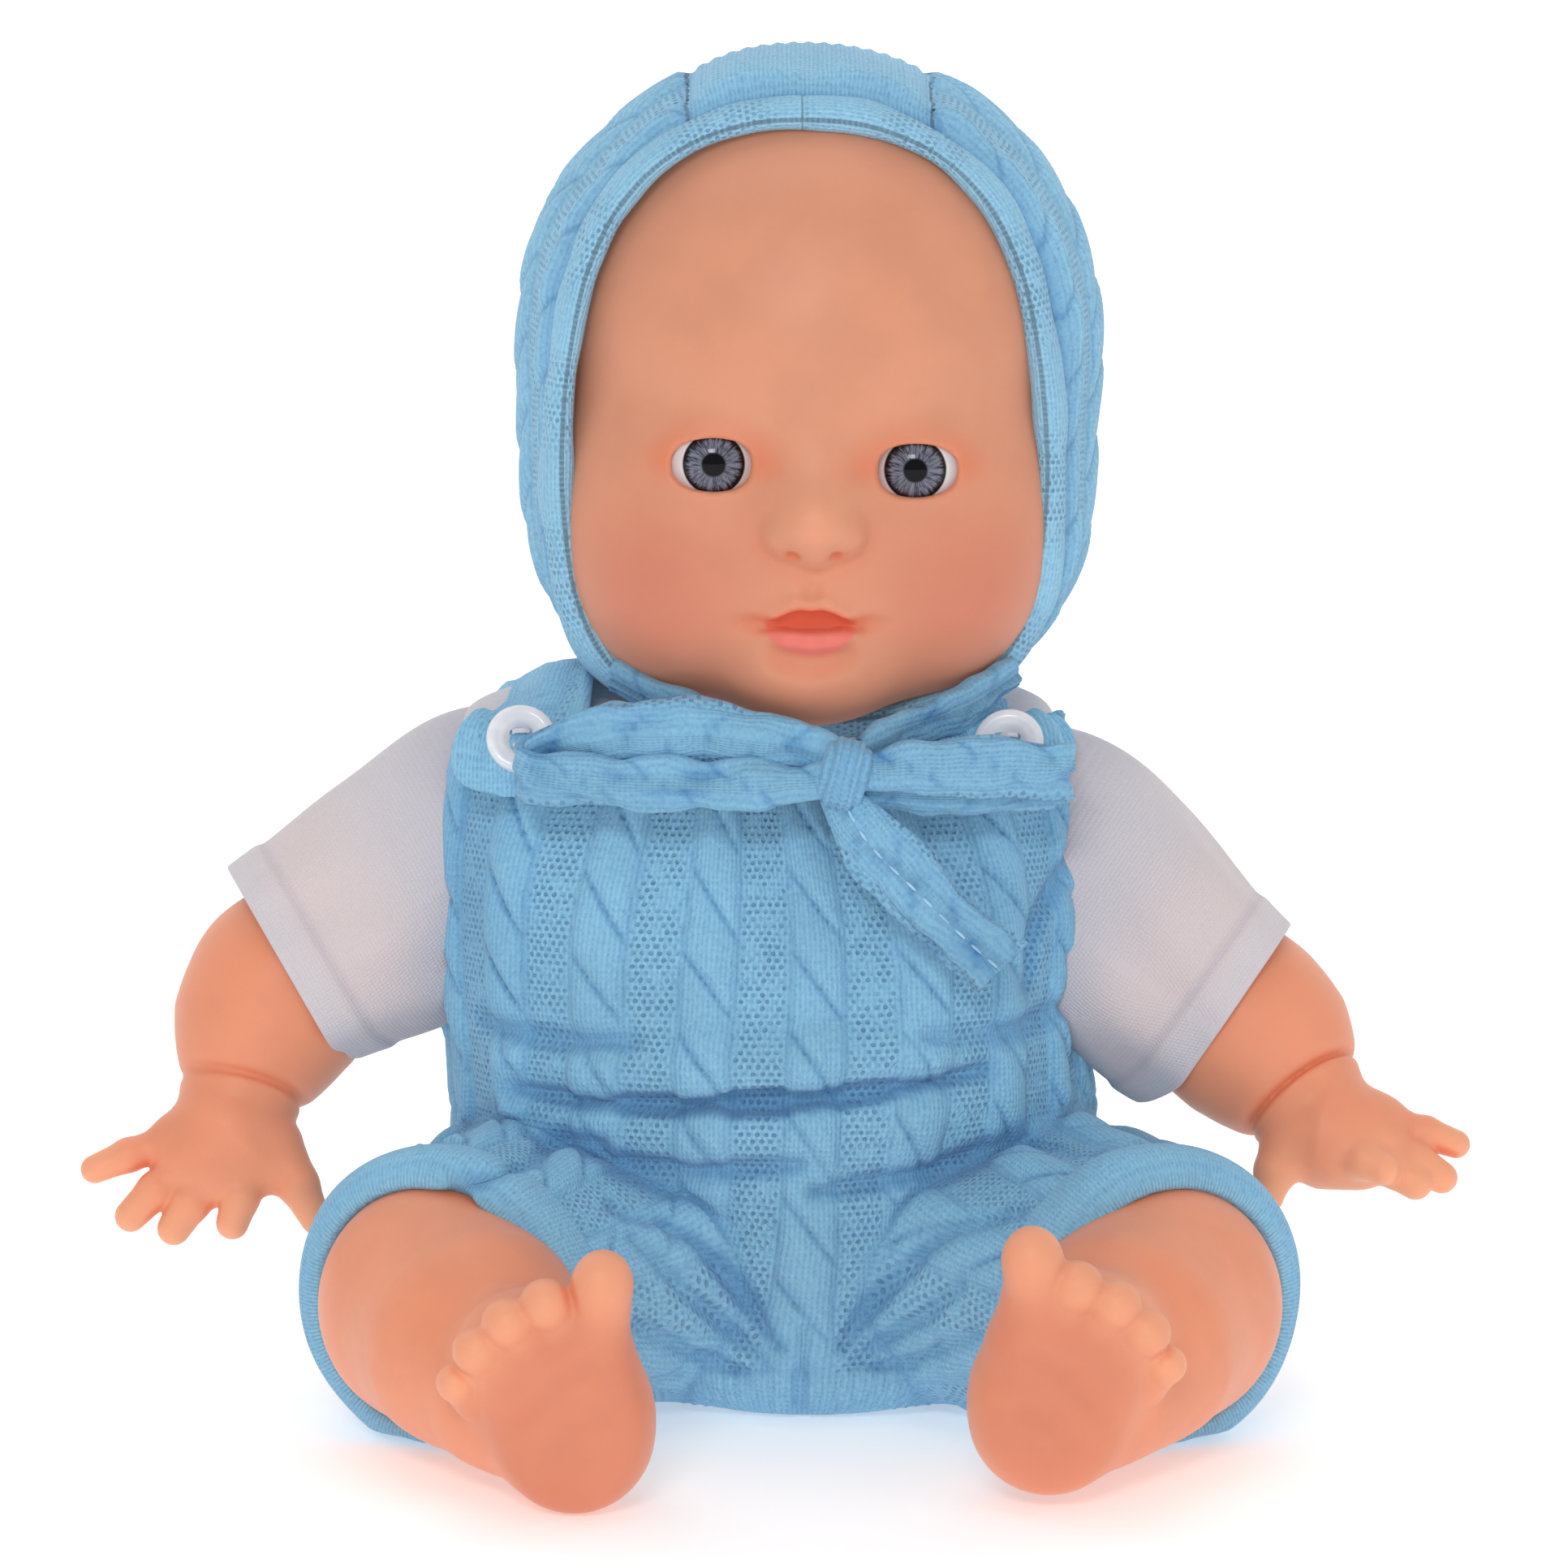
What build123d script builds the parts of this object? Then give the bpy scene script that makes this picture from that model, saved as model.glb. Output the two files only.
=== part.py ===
from build123d import *

import os
from math import cos, radians, sin

# Interactive baby doll, seated: a 30 cm soft-bodied doll with vinyl head, arms and legs.
# Millimetres, +Z up. The doll faces -Y and sits on Z = 0, with the origin at the middle of
# its flat seat. A sound module with a press button lies in a pocket of the stuffed body.

os.makedirs("parts", exist_ok=True)

# ---- driving dimensions -------------------------------------------------------------
GAP = 0.3  # clearance between neighbouring soft or moulded skins
KNIT = 2.4  # thickness of the knitted romper and bonnet
SHIRT = 0.9  # thickness of the jersey shirt

# Stuffed torso with its clothes on: height, half width, front depth, back depth, sideways lean
TORSO_SECTIONS = [
    (0, 34, 17, 20, 0),
    (4, 40, 22, 24, 0),
    (12, 45, 27, 27, 0),
    (24, 47, 29, 28, -1),
    (40, 47, 31, 27, -3),
    (56, 46, 31, 26, -6),
    (72, 46, 29, 25, -6),
    (86, 45, 25, 22, -6),
    (93, 42, 21, 19, -6),
    (97, 36, 16, 16, -5),
]
LEAN = 6  # the chest leans this far to -X
TORSO_TOP = 97
BIB_TOP = 91  # the romper's bib and back end here, under the straps
SHIRT_HEM_Z = 26

# Neck joint: a vinyl neck whose flange turns inside the cloth collar
NECK_X, NECK_Y = -1, 2
NECK_R = 12
FLANGE_R = 15.5
FLANGE_Z = 91
FLANGE_T = 2.4
COLLAR_TOP = 100.6

# Head
HEAD_X = 2
HEAD_Z, HEAD_HALF_H = 148, 44
HEAD_WALL = 2.6
# height, half width, front depth, back depth
HEAD_SECTIONS = [
    (104, 8, 16, 2),
    (107, 16, 24, 10),
    (112, 23.4, 29.5, 16),
    (118, 29, 34.3, 23),
    (126, 33.5, 37, 32.5),
    (138, 36.5, 37.6, 40),
    (152, 38.5, 37, 43),
    (160, 38, 36.2, 42.6),
    (168, 35.6, 33.8, 40),
    (176, 31, 29, 35.2),
    (183, 24.6, 22.2, 28.4),
    (188, 16.6, 14.4, 20.4),
    (192, 6, 4, 10),
]
EYE_X = 14.2
EYE_Y = -28.5
EYE_Z = 139.5
EYE_R = 7.2
EYE_OPEN_W, EYE_OPEN_H = 11.6, 7.8
BAND_BACK = 16  # the face band runs forwards from here, along the face opening
FACE_OPEN_Z = 145.5
FACE_OPEN_W, FACE_OPEN_H = 33.5, 41.5  # half sizes
BAND_T, BAND_W = 3.8, 8
BONNET_LOW = 104.6  # the panels end here, above the shoulder straps

# Hip joint and legs
HIP_Z = 20.2
SEAT_R = 29.4  # the seat is round about the hip axis below it
BELLY_Y = -31.6  # the thighs start in front of the belly
SPLAY = 25.2  # degrees that each thigh points outwards
THIGH_START = (30, -15)
THIGH_LENGTH = 37.6
CUFF_R = 20
CUFF_WALL = 2.4
THIGH_R = 17.2
LEG_WALL = 2.2

# Shoulder joint and arms
ARM_R = 11.3
ARM_WALL = 2.0

# Sound module, held in the pocket of the stuffed body
MOD_X = -4
MOD_W, MOD_H = 48, 50
MOD_Z = 50
MOD_FRONT, MOD_BACK = -12, 13.6
WALL = 1.5
BUTTON_Z = 63
BUTTON_R = 8
SPEAKER_Z = 39
SPEAKER_R = 11
CELL_R, CELL_LENGTH, CELL_PITCH = 5.15, 38, 10.7

written = []


def save(part, label):
    """Labels a finished piece and writes it as one node."""
    part.label = label
    export_step(part, f"parts/{label}.step")
    written.append(label)
    return part


def head_form(grow):
    """The head's outer form, or the same form grown outwards, lofted through its sections."""
    with BuildPart() as form:
        for z, half_w, front, back in HEAD_SECTIONS:
            level = HEAD_Z + (z - HEAD_Z) * (1 + grow / HEAD_HALF_H)
            with BuildSketch(Plane.XY.offset(level)):
                with Locations((HEAD_X, (back - front) / 2)):
                    Ellipse(half_w + grow, (front + back) / 2 + grow)
        loft(ruled=True)
    return form.part


def torso_form(grow, bottom=0.0, top=TORSO_TOP):
    """The dressed torso's form, or the same form shrunk by a negative grow."""
    with BuildPart() as form:
        for z, half_w, front, back, shift in TORSO_SECTIONS:
            level = bottom + (top - bottom) * z / TORSO_TOP
            with BuildSketch(Plane.XY.offset(level)):
                with Locations((shift, (back - front) / 2)):
                    Ellipse(half_w + grow, (front + back) / 2 + grow)
        loft(ruled=True)
    return form.part


def capsules(stations):
    """Adds spheres joined by cones to the builder in use: stations are (point, radius)."""
    for point, radius in stations:
        with Locations(point):
            Sphere(radius)
    for (a, ra), (b, rb) in zip(stations, stations[1:]):
        run = Vector(*b) - Vector(*a)
        with Locations(Plane(origin=a, z_dir=run)):
            Cone(ra, rb, run.length, align=(Align.CENTER, Align.CENTER, Align.MIN))


def limb(stations, across):
    """Lofts round sections along a limb: stations are (point, direction, radius).

    Across is a direction square to the limb's bend, from which each circle starts.
    """
    with BuildPart() as form:
        for point, direction, radius in stations:
            start = Vector(*across).cross(direction)
            with BuildSketch(Plane(origin=point, x_dir=start, z_dir=direction)):
                Circle(radius)
        loft(ruled=True)
    return form.part


# ---- head: vinyl shell ---------------------------------------------------------------
with BuildPart() as head_shell:
    add(head_form(0))
    # neck, with the groove that the collar grips and the flange that keeps it in
    with Locations((NECK_X, NECK_Y, FLANGE_Z)):
        Cylinder(NECK_R, 30, align=(Align.CENTER, Align.CENTER, Align.MIN))
        Cylinder(FLANGE_R, FLANGE_T, align=(Align.CENTER, Align.CENTER, Align.MIN))
    # nose
    with Locations((HEAD_X, -37, 131)):
        Sphere(6)
    # hollow inside
    add(head_form(-HEAD_WALL), mode=Mode.SUBTRACT)
    with Locations((NECK_X, NECK_Y, FLANGE_Z - 1)):
        Cylinder(
            NECK_R - HEAD_WALL,
            32,
            align=(Align.CENTER, Align.CENTER, Align.MIN),
            mode=Mode.SUBTRACT,
        )
    # eye openings, and the round pockets that seat the eyes behind them
    for side in (-1, 1):
        with Locations((HEAD_X + side * EYE_X, EYE_Y, EYE_Z)):
            Sphere(EYE_R + GAP, mode=Mode.SUBTRACT)
        with BuildSketch(Plane.XZ.offset(-EYE_Y)):
            with Locations((HEAD_X + side * EYE_X, EYE_Z)):
                Ellipse(EYE_OPEN_W / 2, EYE_OPEN_H / 2)
        extrude(amount=20, mode=Mode.SUBTRACT)
    # parted lips
    with BuildSketch(Plane.XZ.offset(34)):
        with Locations((HEAD_X, 117.5)):
            Ellipse(6, 1.6)
    extrude(amount=10, mode=Mode.SUBTRACT)
save(head_shell.part, "head_shell")


def eye_pieces(side, name):
    """One fixed eye: a white back shell, the printed iris and the clear front lens."""
    x = HEAD_X + side * EYE_X
    y = EYE_Y
    iris_face = y - 4.6
    with BuildPart() as white:
        with Locations((x, y, EYE_Z)):
            Sphere(EYE_R)
            Sphere(EYE_R - 1.6, mode=Mode.SUBTRACT)
        with Locations((x, y + EYE_R, EYE_Z)):
            Box(30, EYE_R * 1.4, 30, mode=Mode.SUBTRACT)
        with Locations(Plane(origin=(x, iris_face, EYE_Z), z_dir=(0, -1, 0))):
            Cylinder(
                4.9, 8, align=(Align.CENTER, Align.CENTER, Align.MIN), mode=Mode.SUBTRACT
            )
    with BuildPart() as iris:
        with Locations(Plane(origin=(x, iris_face - 0.1, EYE_Z), z_dir=(0, -1, 0))):
            Cylinder(4.8, 0.7, align=(Align.CENTER, Align.CENTER, Align.MIN))
    with BuildPart() as lens:
        with Locations((x, y, EYE_Z)):
            Sphere(EYE_R)
        with Locations((x, iris_face - 0.85, EYE_Z)):
            Box(30, 60, 30, align=(Align.CENTER, Align.MIN, Align.CENTER), mode=Mode.SUBTRACT)
        with Locations(Plane(origin=(x, y, EYE_Z), z_dir=(0, -1, 0))):
            Cylinder(4.8, 20, mode=Mode.INTERSECT)
    save(white.part, f"eye_white_{name}")
    save(iris.part, f"iris_{name}")
    save(lens.part, f"eye_lens_{name}")


eye_pieces(-1, "left")
eye_pieces(1, "right")


# ---- bonnet: three panels, a face band and two ties ----------------------------------
with BuildPart() as bonnet_face_band:
    with BuildSketch(Plane.XZ.offset(BAND_BACK)):
        with Locations((HEAD_X, FACE_OPEN_Z)):
            Ellipse(FACE_OPEN_W + BAND_T, FACE_OPEN_H + BAND_T)
            Ellipse(FACE_OPEN_W, FACE_OPEN_H, mode=Mode.SUBTRACT)
    extrude(amount=BAND_W)
    add(head_form(GAP), mode=Mode.SUBTRACT)
save(bonnet_face_band.part, "bonnet_face_band")

with BuildPart() as bonnet:
    add(head_form(KNIT + 1.6))
    add(head_form(GAP), mode=Mode.SUBTRACT)
    with Locations((0, -BAND_BACK + GAP, 0)):
        Box(300, 100, 600, align=(Align.CENTER, Align.MAX, Align.CENTER), mode=Mode.SUBTRACT)
    with Locations((NECK_X, NECK_Y, 80)):
        Cylinder(
            19, 34, align=(Align.CENTER, Align.CENTER, Align.MIN), mode=Mode.SUBTRACT
        )
    with Locations((0, 0, BONNET_LOW)):
        Box(300, 300, 300, align=(Align.CENTER, Align.CENTER, Align.MIN), mode=Mode.INTERSECT)

PANEL_HALF = 17
for name, low, high in (
    ("bonnet_side_panel_left", -80, HEAD_X - PANEL_HALF),
    ("bonnet_centre_panel", HEAD_X - PANEL_HALF, HEAD_X + PANEL_HALF),
    ("bonnet_side_panel_right", HEAD_X + PANEL_HALF, 80),
):
    with BuildPart() as panel:
        add(bonnet.part)
        with Locations((low, 0, 150)):
            Box(
                high - low,
                200,
                200,
                align=(Align.MIN, Align.CENTER, Align.CENTER),
                mode=Mode.INTERSECT,
            )
    save(panel.part, name)

TIE_Z = 101.4
for side, name in ((-1, "left"), (1, "right")):
    with BuildPart() as tie:
        with Locations((HEAD_X + 1 + side * 6.5, -28.8, TIE_Z)):
            Box(11, 9, 3)
        fillet(tie.edges().filter_by(Axis.Z), 2)
    save(tie.part, f"bonnet_tie_{name}")

# ---- stuffed body, with its module pocket and neck collar ----------------------------
SHIRT_OUT = KNIT + GAP
SHIRT_IN = SHIRT_OUT + SHIRT
BODY_SKIN = SHIRT_IN + GAP
with BuildPart() as stuffed_body:
    add(torso_form(-BODY_SKIN, bottom=BODY_SKIN, top=TORSO_TOP - SHIRT - 2 * GAP))
    with Locations((NECK_X, NECK_Y, 84)):
        Cylinder(
            NECK_R + 2, COLLAR_TOP - 84, align=(Align.CENTER, Align.CENTER, Align.MIN)
        )
    # room for the neck and its flange
    with Locations((NECK_X, NECK_Y, FLANGE_Z - 1)):
        Cylinder(
            NECK_R + GAP,
            30,
            align=(Align.CENTER, Align.CENTER, Align.MIN),
            mode=Mode.SUBTRACT,
        )
        Cylinder(
            FLANGE_R + GAP,
            FLANGE_T + 1.4,
            align=(Align.CENTER, Align.CENTER, Align.MIN),
            mode=Mode.SUBTRACT,
        )
    # pocket for the sound module, its button and the closure strips behind it
    with Locations((MOD_X, (MOD_FRONT + MOD_BACK) / 2, MOD_Z)):
        Box(MOD_W + 1, MOD_BACK - MOD_FRONT + 1, MOD_H + 1, mode=Mode.SUBTRACT)
    with Locations(Plane(origin=(MOD_X, MOD_FRONT, BUTTON_Z), z_dir=(0, -1, 0))):
        Cylinder(
            BUTTON_R + 1.5,
            6,
            align=(Align.CENTER, Align.CENTER, Align.MIN),
            mode=Mode.SUBTRACT,
        )
    with Locations((MOD_X, MOD_BACK + 1.5, MOD_Z)):
        Box(33, 3.6, 14, mode=Mode.SUBTRACT)
save(stuffed_body.part, "stuffed_body")

for name, near in (("pocket_loop_strip", 0.6), ("pocket_hook_strip", 1.7)):
    with BuildPart() as strip:
        with Locations((MOD_X, MOD_BACK + near, MOD_Z)):
            Box(32, 1.0, 12, align=(Align.CENTER, Align.MIN, Align.CENTER))
        fillet(strip.edges().filter_by(Axis.Y), 1.5)
    save(strip.part, name)

with BuildPart() as neck_tie:
    with BuildSketch(Plane.XY.offset(TORSO_TOP + 0.6)):
        with Locations((NECK_X, NECK_Y)):
            Circle(NECK_R + 3.2)
            Circle(NECK_R + 2, mode=Mode.SUBTRACT)
        with Locations((NECK_X, NECK_Y + NECK_R + 4)):
            Rectangle(5, 4)
        with Locations((NECK_X, NECK_Y)):
            Circle(NECK_R + 2, mode=Mode.SUBTRACT)
    extrude(amount=2.6)
save(neck_tie.part, "neck_tie")

# ---- shirt body and collar -----------------------------------------------------------
with BuildPart() as shirt_body:
    add(torso_form(-SHIRT_OUT, bottom=SHIRT_OUT, top=TORSO_TOP - GAP))
    add(
        torso_form(-SHIRT_IN, bottom=SHIRT_IN, top=TORSO_TOP - GAP - SHIRT),
        mode=Mode.SUBTRACT,
    )
    with Locations((NECK_X, NECK_Y, 90)):
        Cylinder(FLANGE_R + 1.5, 30, mode=Mode.SUBTRACT)
    with Locations((0, 0, SHIRT_HEM_Z)):
        Box(200, 200, 100, align=(Align.CENTER, Align.CENTER, Align.MIN), mode=Mode.INTERSECT)
save(shirt_body.part, "shirt_body")

with BuildPart() as shirt_collar:
    with BuildSketch(Plane.XY.offset(TORSO_TOP + 0.2)):
        with Locations((NECK_X, NECK_Y)):
            Ellipse(22, 18.4)
            Ellipse(20.4, 16.9, mode=Mode.SUBTRACT)
            with Locations((0, NECK_R + 4)):
                Rectangle(7, 7, mode=Mode.SUBTRACT)
    extrude(amount=2.6)
save(shirt_collar.part, "shirt_collar")

# ---- romper: front and back panels, straps, buttons and crotch placket ----------------
with BuildPart() as romper:
    add(torso_form(0))
    add(torso_form(-KNIT, bottom=KNIT), mode=Mode.SUBTRACT)
    with Locations((0, 0, BIB_TOP)):
        Box(200, 200, 30, align=(Align.CENTER, Align.CENTER, Align.MIN), mode=Mode.SUBTRACT)
    # below the hip axis the seat is round about it, so the thighs can turn past
    with BuildSketch(Plane.YZ):
        with Locations((0, HIP_Z)):
            Circle(SEAT_R)
            Rectangle(200, 200, align=(Align.CENTER, Align.MIN))
    extrude(amount=100, both=True, mode=Mode.INTERSECT)
    # opening under the crotch placket
    with Locations((1, -20, 0)):
        Box(24, 9, 3 * KNIT, mode=Mode.SUBTRACT)

with BuildPart() as crotch_placket:
    with Locations((1, -20, 0.2)):
        Box(23.4, 8.4, KNIT, align=(Align.CENTER, Align.CENTER, Align.MIN))
    with BuildSketch(Plane.YZ):
        with Locations((0, HIP_Z)):
            Circle(SEAT_R)
    extrude(amount=100, both=True, mode=Mode.INTERSECT)
save(crotch_placket.part, "crotch_placket")

for name, near, far in (("romper_front_panel", -90, 0), ("romper_back_panel", 0, 90)):
    with BuildPart() as panel:
        add(romper.part)
        with Locations((0, near, 0)):
            Box(
                300,
                far - near,
                300,
                align=(Align.CENTER, Align.MIN, Align.CENTER),
                mode=Mode.INTERSECT,
            )
    save(panel.part, name)

# shoulder straps: each comes over the shoulder from the back and buttons onto the bib
STRAP_T = 2.2
STRAP_W = 13
STRAP_X = {"left": -LEAN - 34, "right": -LEAN + 34}
BUTTON_Y, BUTTON_TOP = -24.4, 96.6
for name, x in STRAP_X.items():
    with BuildPart() as strap:
        with BuildSketch(Plane.YZ.offset(x - STRAP_W / 2)):
            with BuildLine():
                front = Line((-26, 91.4), (-22, 97))
                top = ThreePointArc(front @ 1, (-3, 100.6), (14, 97))
                Line(top @ 1, (21.5, 91.4))
                offset(amount=STRAP_T / 2, side=Side.BOTH)
            make_face()
        extrude(amount=STRAP_W)
        add(torso_form(GAP), mode=Mode.SUBTRACT)
    save(strap.part, f"romper_strap_{name}")
    tilt = Plane(origin=(x, BUTTON_Y - 1.2, BUTTON_TOP - 1), z_dir=(0, -0.86, 0.52))
    with BuildPart() as shirt_button:
        with BuildSketch(tilt):
            Circle(5)
        extrude(amount=1.9)
        fillet(shirt_button.edges(), 0.6)
        with Locations(tilt.offset(1.9)):
            Cylinder(3.3, 1.0, mode=Mode.SUBTRACT)
            with GridLocations(2.2, 2.2, 2, 2):
                Cylinder(0.55, 5, mode=Mode.SUBTRACT)
    save(shirt_button.part, f"strap_button_{name}")

# ---- bow: knot, two loops and the loose tail ------------------------------------------
KNOT = (6, -35.5, 95)
with BuildPart() as bow_knot:
    with Locations(KNOT):
        Box(9, 6, 9)
    fillet(bow_knot.edges(), 2.2)
save(bow_knot.part, "bow_knot")


def bow_loop(stations, name):
    """A soft loop of tie: a flat closed form along its stations of (x, y, z, half height)."""
    with BuildPart() as loop:
        for x, y, z, half in stations:
            with BuildSketch(Plane(origin=(x, y, z), x_dir=(0, 1, 0), z_dir=(1, 0, 0))):
                Ellipse(2.3, half)
        loft()
    save(loop.part, name)


bow_loop(
    [(-34.5, -31.5, 95.5, 3.5), (-27, -33, 96, 5.4), (-12, -34.5, 96, 5), (1.2, -35.5, 95, 2.4)],
    "bow_loop_left",
)
bow_loop(
    [(10.8, -35.5, 95, 2.4), (20, -34.5, 95.5, 4.5), (30, -32.5, 95, 5), (36, -30.5, 94.5, 4)],
    "bow_loop_right",
)
with BuildPart() as bow_tail:
    for x, y, z, half in ((9, -36.2, 88, 3), (18, -36.2, 79, 4), (27, -34.8, 68, 4)):
        with BuildSketch(Plane(origin=(x, y, z), z_dir=(0.66, 0, -0.75))):
            Ellipse(half, 1.0)
    loft()
save(bow_tail.part, "bow_tail")


# ---- sound module ---------------------------------------------------------------------
def facing_front(y, z=MOD_Z, x=MOD_X):
    """A plane at depth y that looks towards the doll's front."""
    return Plane(origin=(x, y, z), x_dir=(1, 0, 0), z_dir=(0, -1, 0))


CASE_SCREW_X, CASE_SCREW_Z = 41.6, 43.6
with BuildPart() as module_front_case:
    with BuildSketch(facing_front(0)):
        RectangleRounded(MOD_W, MOD_H, 3)
    extrude(amount=-MOD_FRONT)
    with BuildSketch(facing_front(0)):
        RectangleRounded(MOD_W - 2 * WALL, MOD_H - 2 * WALL, 1.5)
    extrude(amount=-MOD_FRONT - WALL, mode=Mode.SUBTRACT)
    with BuildSketch(facing_front(-0.2)):
        with GridLocations(CASE_SCREW_X, CASE_SCREW_Z, 2, 2):
            Circle(2.6)
    extrude(amount=-MOD_FRONT - WALL)
    with BuildSketch(facing_front(0)):
        with GridLocations(CASE_SCREW_X, CASE_SCREW_Z, 2, 2):
            Circle(1.1)
    extrude(amount=-MOD_FRONT - WALL - 1, mode=Mode.SUBTRACT)
    with Locations(facing_front(MOD_FRONT + WALL / 2, BUTTON_Z)):
        Cylinder(BUTTON_R + 0.4, 4, mode=Mode.SUBTRACT)
    with Locations(facing_front(MOD_FRONT + WALL / 2, SPEAKER_Z)):
        with PolarLocations(6, 8):
            Cylinder(1, 4, mode=Mode.SUBTRACT)
        with PolarLocations(2.6, 4):
            Cylinder(0.9, 4, mode=Mode.SUBTRACT)
save(module_front_case.part, "module_front_case")

BAY_W = 3 * CELL_PITCH + 1
BAY_H = CELL_LENGTH + 3
BAY_Z = MOD_Z - 1.6
DOOR_H = 47
SCREW_Z = MOD_Z + 21.4
with BuildPart() as module_rear_case:
    with BuildSketch(facing_front(MOD_BACK)):
        RectangleRounded(MOD_W, MOD_H, 3)
    extrude(amount=MOD_BACK)
    with BuildSketch(facing_front(MOD_BACK, BAY_Z)):
        Rectangle(BAY_W, BAY_H)
    extrude(amount=MOD_BACK - WALL, mode=Mode.SUBTRACT)
    with BuildSketch(facing_front(MOD_BACK)):
        RectangleRounded(BAY_W + 3, DOOR_H, 2)
    extrude(amount=WALL, mode=Mode.SUBTRACT)
    with BuildSketch(facing_front(MOD_BACK)):
        with GridLocations(CASE_SCREW_X, CASE_SCREW_Z, 2, 2):
            Circle(1.3)
    extrude(amount=MOD_BACK, mode=Mode.SUBTRACT)
    with BuildSketch(facing_front(MOD_BACK)):
        with GridLocations(CASE_SCREW_X, CASE_SCREW_Z, 2, 2):
            Circle(2.1)
    extrude(amount=3, mode=Mode.SUBTRACT)
    with BuildSketch(facing_front(MOD_BACK, SCREW_Z)):
        Circle(1.2)
    extrude(amount=7, mode=Mode.SUBTRACT)
save(module_rear_case.part, "module_rear_case")

with BuildPart() as battery_door:
    with BuildSketch(facing_front(MOD_BACK)):
        RectangleRounded(BAY_W + 2.6, DOOR_H - 0.4, 1.8)
    extrude(amount=WALL - 0.1)
    with BuildSketch(facing_front(MOD_BACK, SCREW_Z)):
        Circle(1.9)
    extrude(amount=0.6, mode=Mode.SUBTRACT)
    with BuildSketch(facing_front(MOD_BACK, SCREW_Z)):
        Circle(1.2)
    extrude(amount=WALL, mode=Mode.SUBTRACT)
save(battery_door.part, "battery_door")

with BuildPart() as door_screw:
    with Locations(facing_front(MOD_BACK, SCREW_Z)):
        Cylinder(1.8, 0.55, align=(Align.CENTER, Align.CENTER, Align.MIN))
        Cylinder(1.1, 6, align=(Align.CENTER, Align.CENTER, Align.MIN))
        Box(2.6, 0.5, 0.5, mode=Mode.SUBTRACT)
save(door_screw.part, "door_screw")

with BuildPart() as case_screws:
    with Locations(facing_front(MOD_BACK - 1.2)):
        with GridLocations(CASE_SCREW_X, CASE_SCREW_Z, 2, 2):
            Cylinder(2.0, 1.6, align=(Align.CENTER, Align.CENTER, Align.MIN))
            Cylinder(1.0, 17, align=(Align.CENTER, Align.CENTER, Align.MIN))
            Box(2.8, 0.6, 0.9, mode=Mode.SUBTRACT)
save(case_screws.part, "case_screws")

CELL_Y = WALL + CELL_R + 0.15
SLOTS = ((-1, 1), (0, -1), (1, 1))  # slot across the bay, and which way its cell points
with BuildPart() as batteries:
    for slot, flip in SLOTS:
        base = (MOD_X + slot * CELL_PITCH, CELL_Y, BAY_Z - flip * CELL_LENGTH / 2)
        with Locations(Plane(origin=base, z_dir=(0, 0, flip))):
            Cylinder(CELL_R, CELL_LENGTH - 1, align=(Align.CENTER, Align.CENTER, Align.MIN))
            Cylinder(1.8, CELL_LENGTH, align=(Align.CENTER, Align.CENTER, Align.MIN))
save(batteries.part, "batteries")


def coil(origin, direction, radius, wire, height, turns):
    """A coil spring along a direction."""
    with BuildPart() as spring:
        with BuildLine():
            path = Helix(height / turns, height, radius, center=origin, direction=direction)
        with BuildSketch(Plane(origin=path @ 0, z_dir=path % 0)):
            Circle(wire)
        sweep()
    return spring.part


# one plate at each end of each slot, the negative ones with a coil spring
with BuildPart() as battery_contacts:
    for slot, flip in SLOTS:
        x = MOD_X + slot * CELL_PITCH
        for end in (-1, 1):
            with Locations((x, CELL_Y, BAY_Z + end * (BAY_H / 2 - 0.2))):
                Box(8, 8, 0.3)
        base = (x, CELL_Y, BAY_Z - flip * (BAY_H / 2 - 0.4))
        add(coil(base, (0, 0, flip), 2.6, 0.25, 0.8, 2))
save(battery_contacts.part, "battery_contacts")

BOARD_Y = -1.2
# the board carries the sound chip under its round drop of resin
with BuildPart() as circuit_board:
    with BuildSketch(facing_front(BOARD_Y, BUTTON_Z)):
        Rectangle(34, 18)
    extrude(amount=1.2)
    with Locations(facing_front(BOARD_Y - 1.2, BUTTON_Z, MOD_X + 12.4)):
        Cone(3.4, 2.2, 1.1, align=(Align.CENTER, Align.CENTER, Align.MIN))
save(circuit_board.part, "circuit_board")

with BuildPart() as press_switch:
    with Locations(facing_front(BOARD_Y - 1.2, BUTTON_Z)):
        Box(6, 6, 2.4, align=(Align.CENTER, Align.CENTER, Align.MIN))
        Cylinder(1.6, 3.2, align=(Align.CENTER, Align.CENTER, Align.MIN))
save(press_switch.part, "press_switch")

with BuildPart() as press_button:
    with Locations(facing_front(MOD_FRONT + WALL + 0.2, BUTTON_Z)):
        Cylinder(BUTTON_R + 1.6, 1.2, align=(Align.CENTER, Align.CENTER, Align.MAX))
        Cylinder(BUTTON_R, 5.2, align=(Align.CENTER, Align.CENTER, Align.MIN))
    fillet(press_button.faces().sort_by(Axis.Y)[0].edges(), 1.6)
    with Locations(facing_front(MOD_FRONT + WALL + 1.4, BUTTON_Z)):
        Cylinder(1.4, 1.0, align=(Align.CENTER, Align.CENTER, Align.MAX))
save(press_button.part, "press_button")

SPRING_BACK = BOARD_Y - 1.6
SPRING_LENGTH = -(MOD_FRONT + WALL + 1.4) + SPRING_BACK - 0.6
with BuildPart() as button_spring:
    add(coil((MOD_X, SPRING_BACK, BUTTON_Z), (0, -1, 0), 5.6, 0.3, SPRING_LENGTH, 3))
save(button_spring.part, "button_spring")

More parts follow.
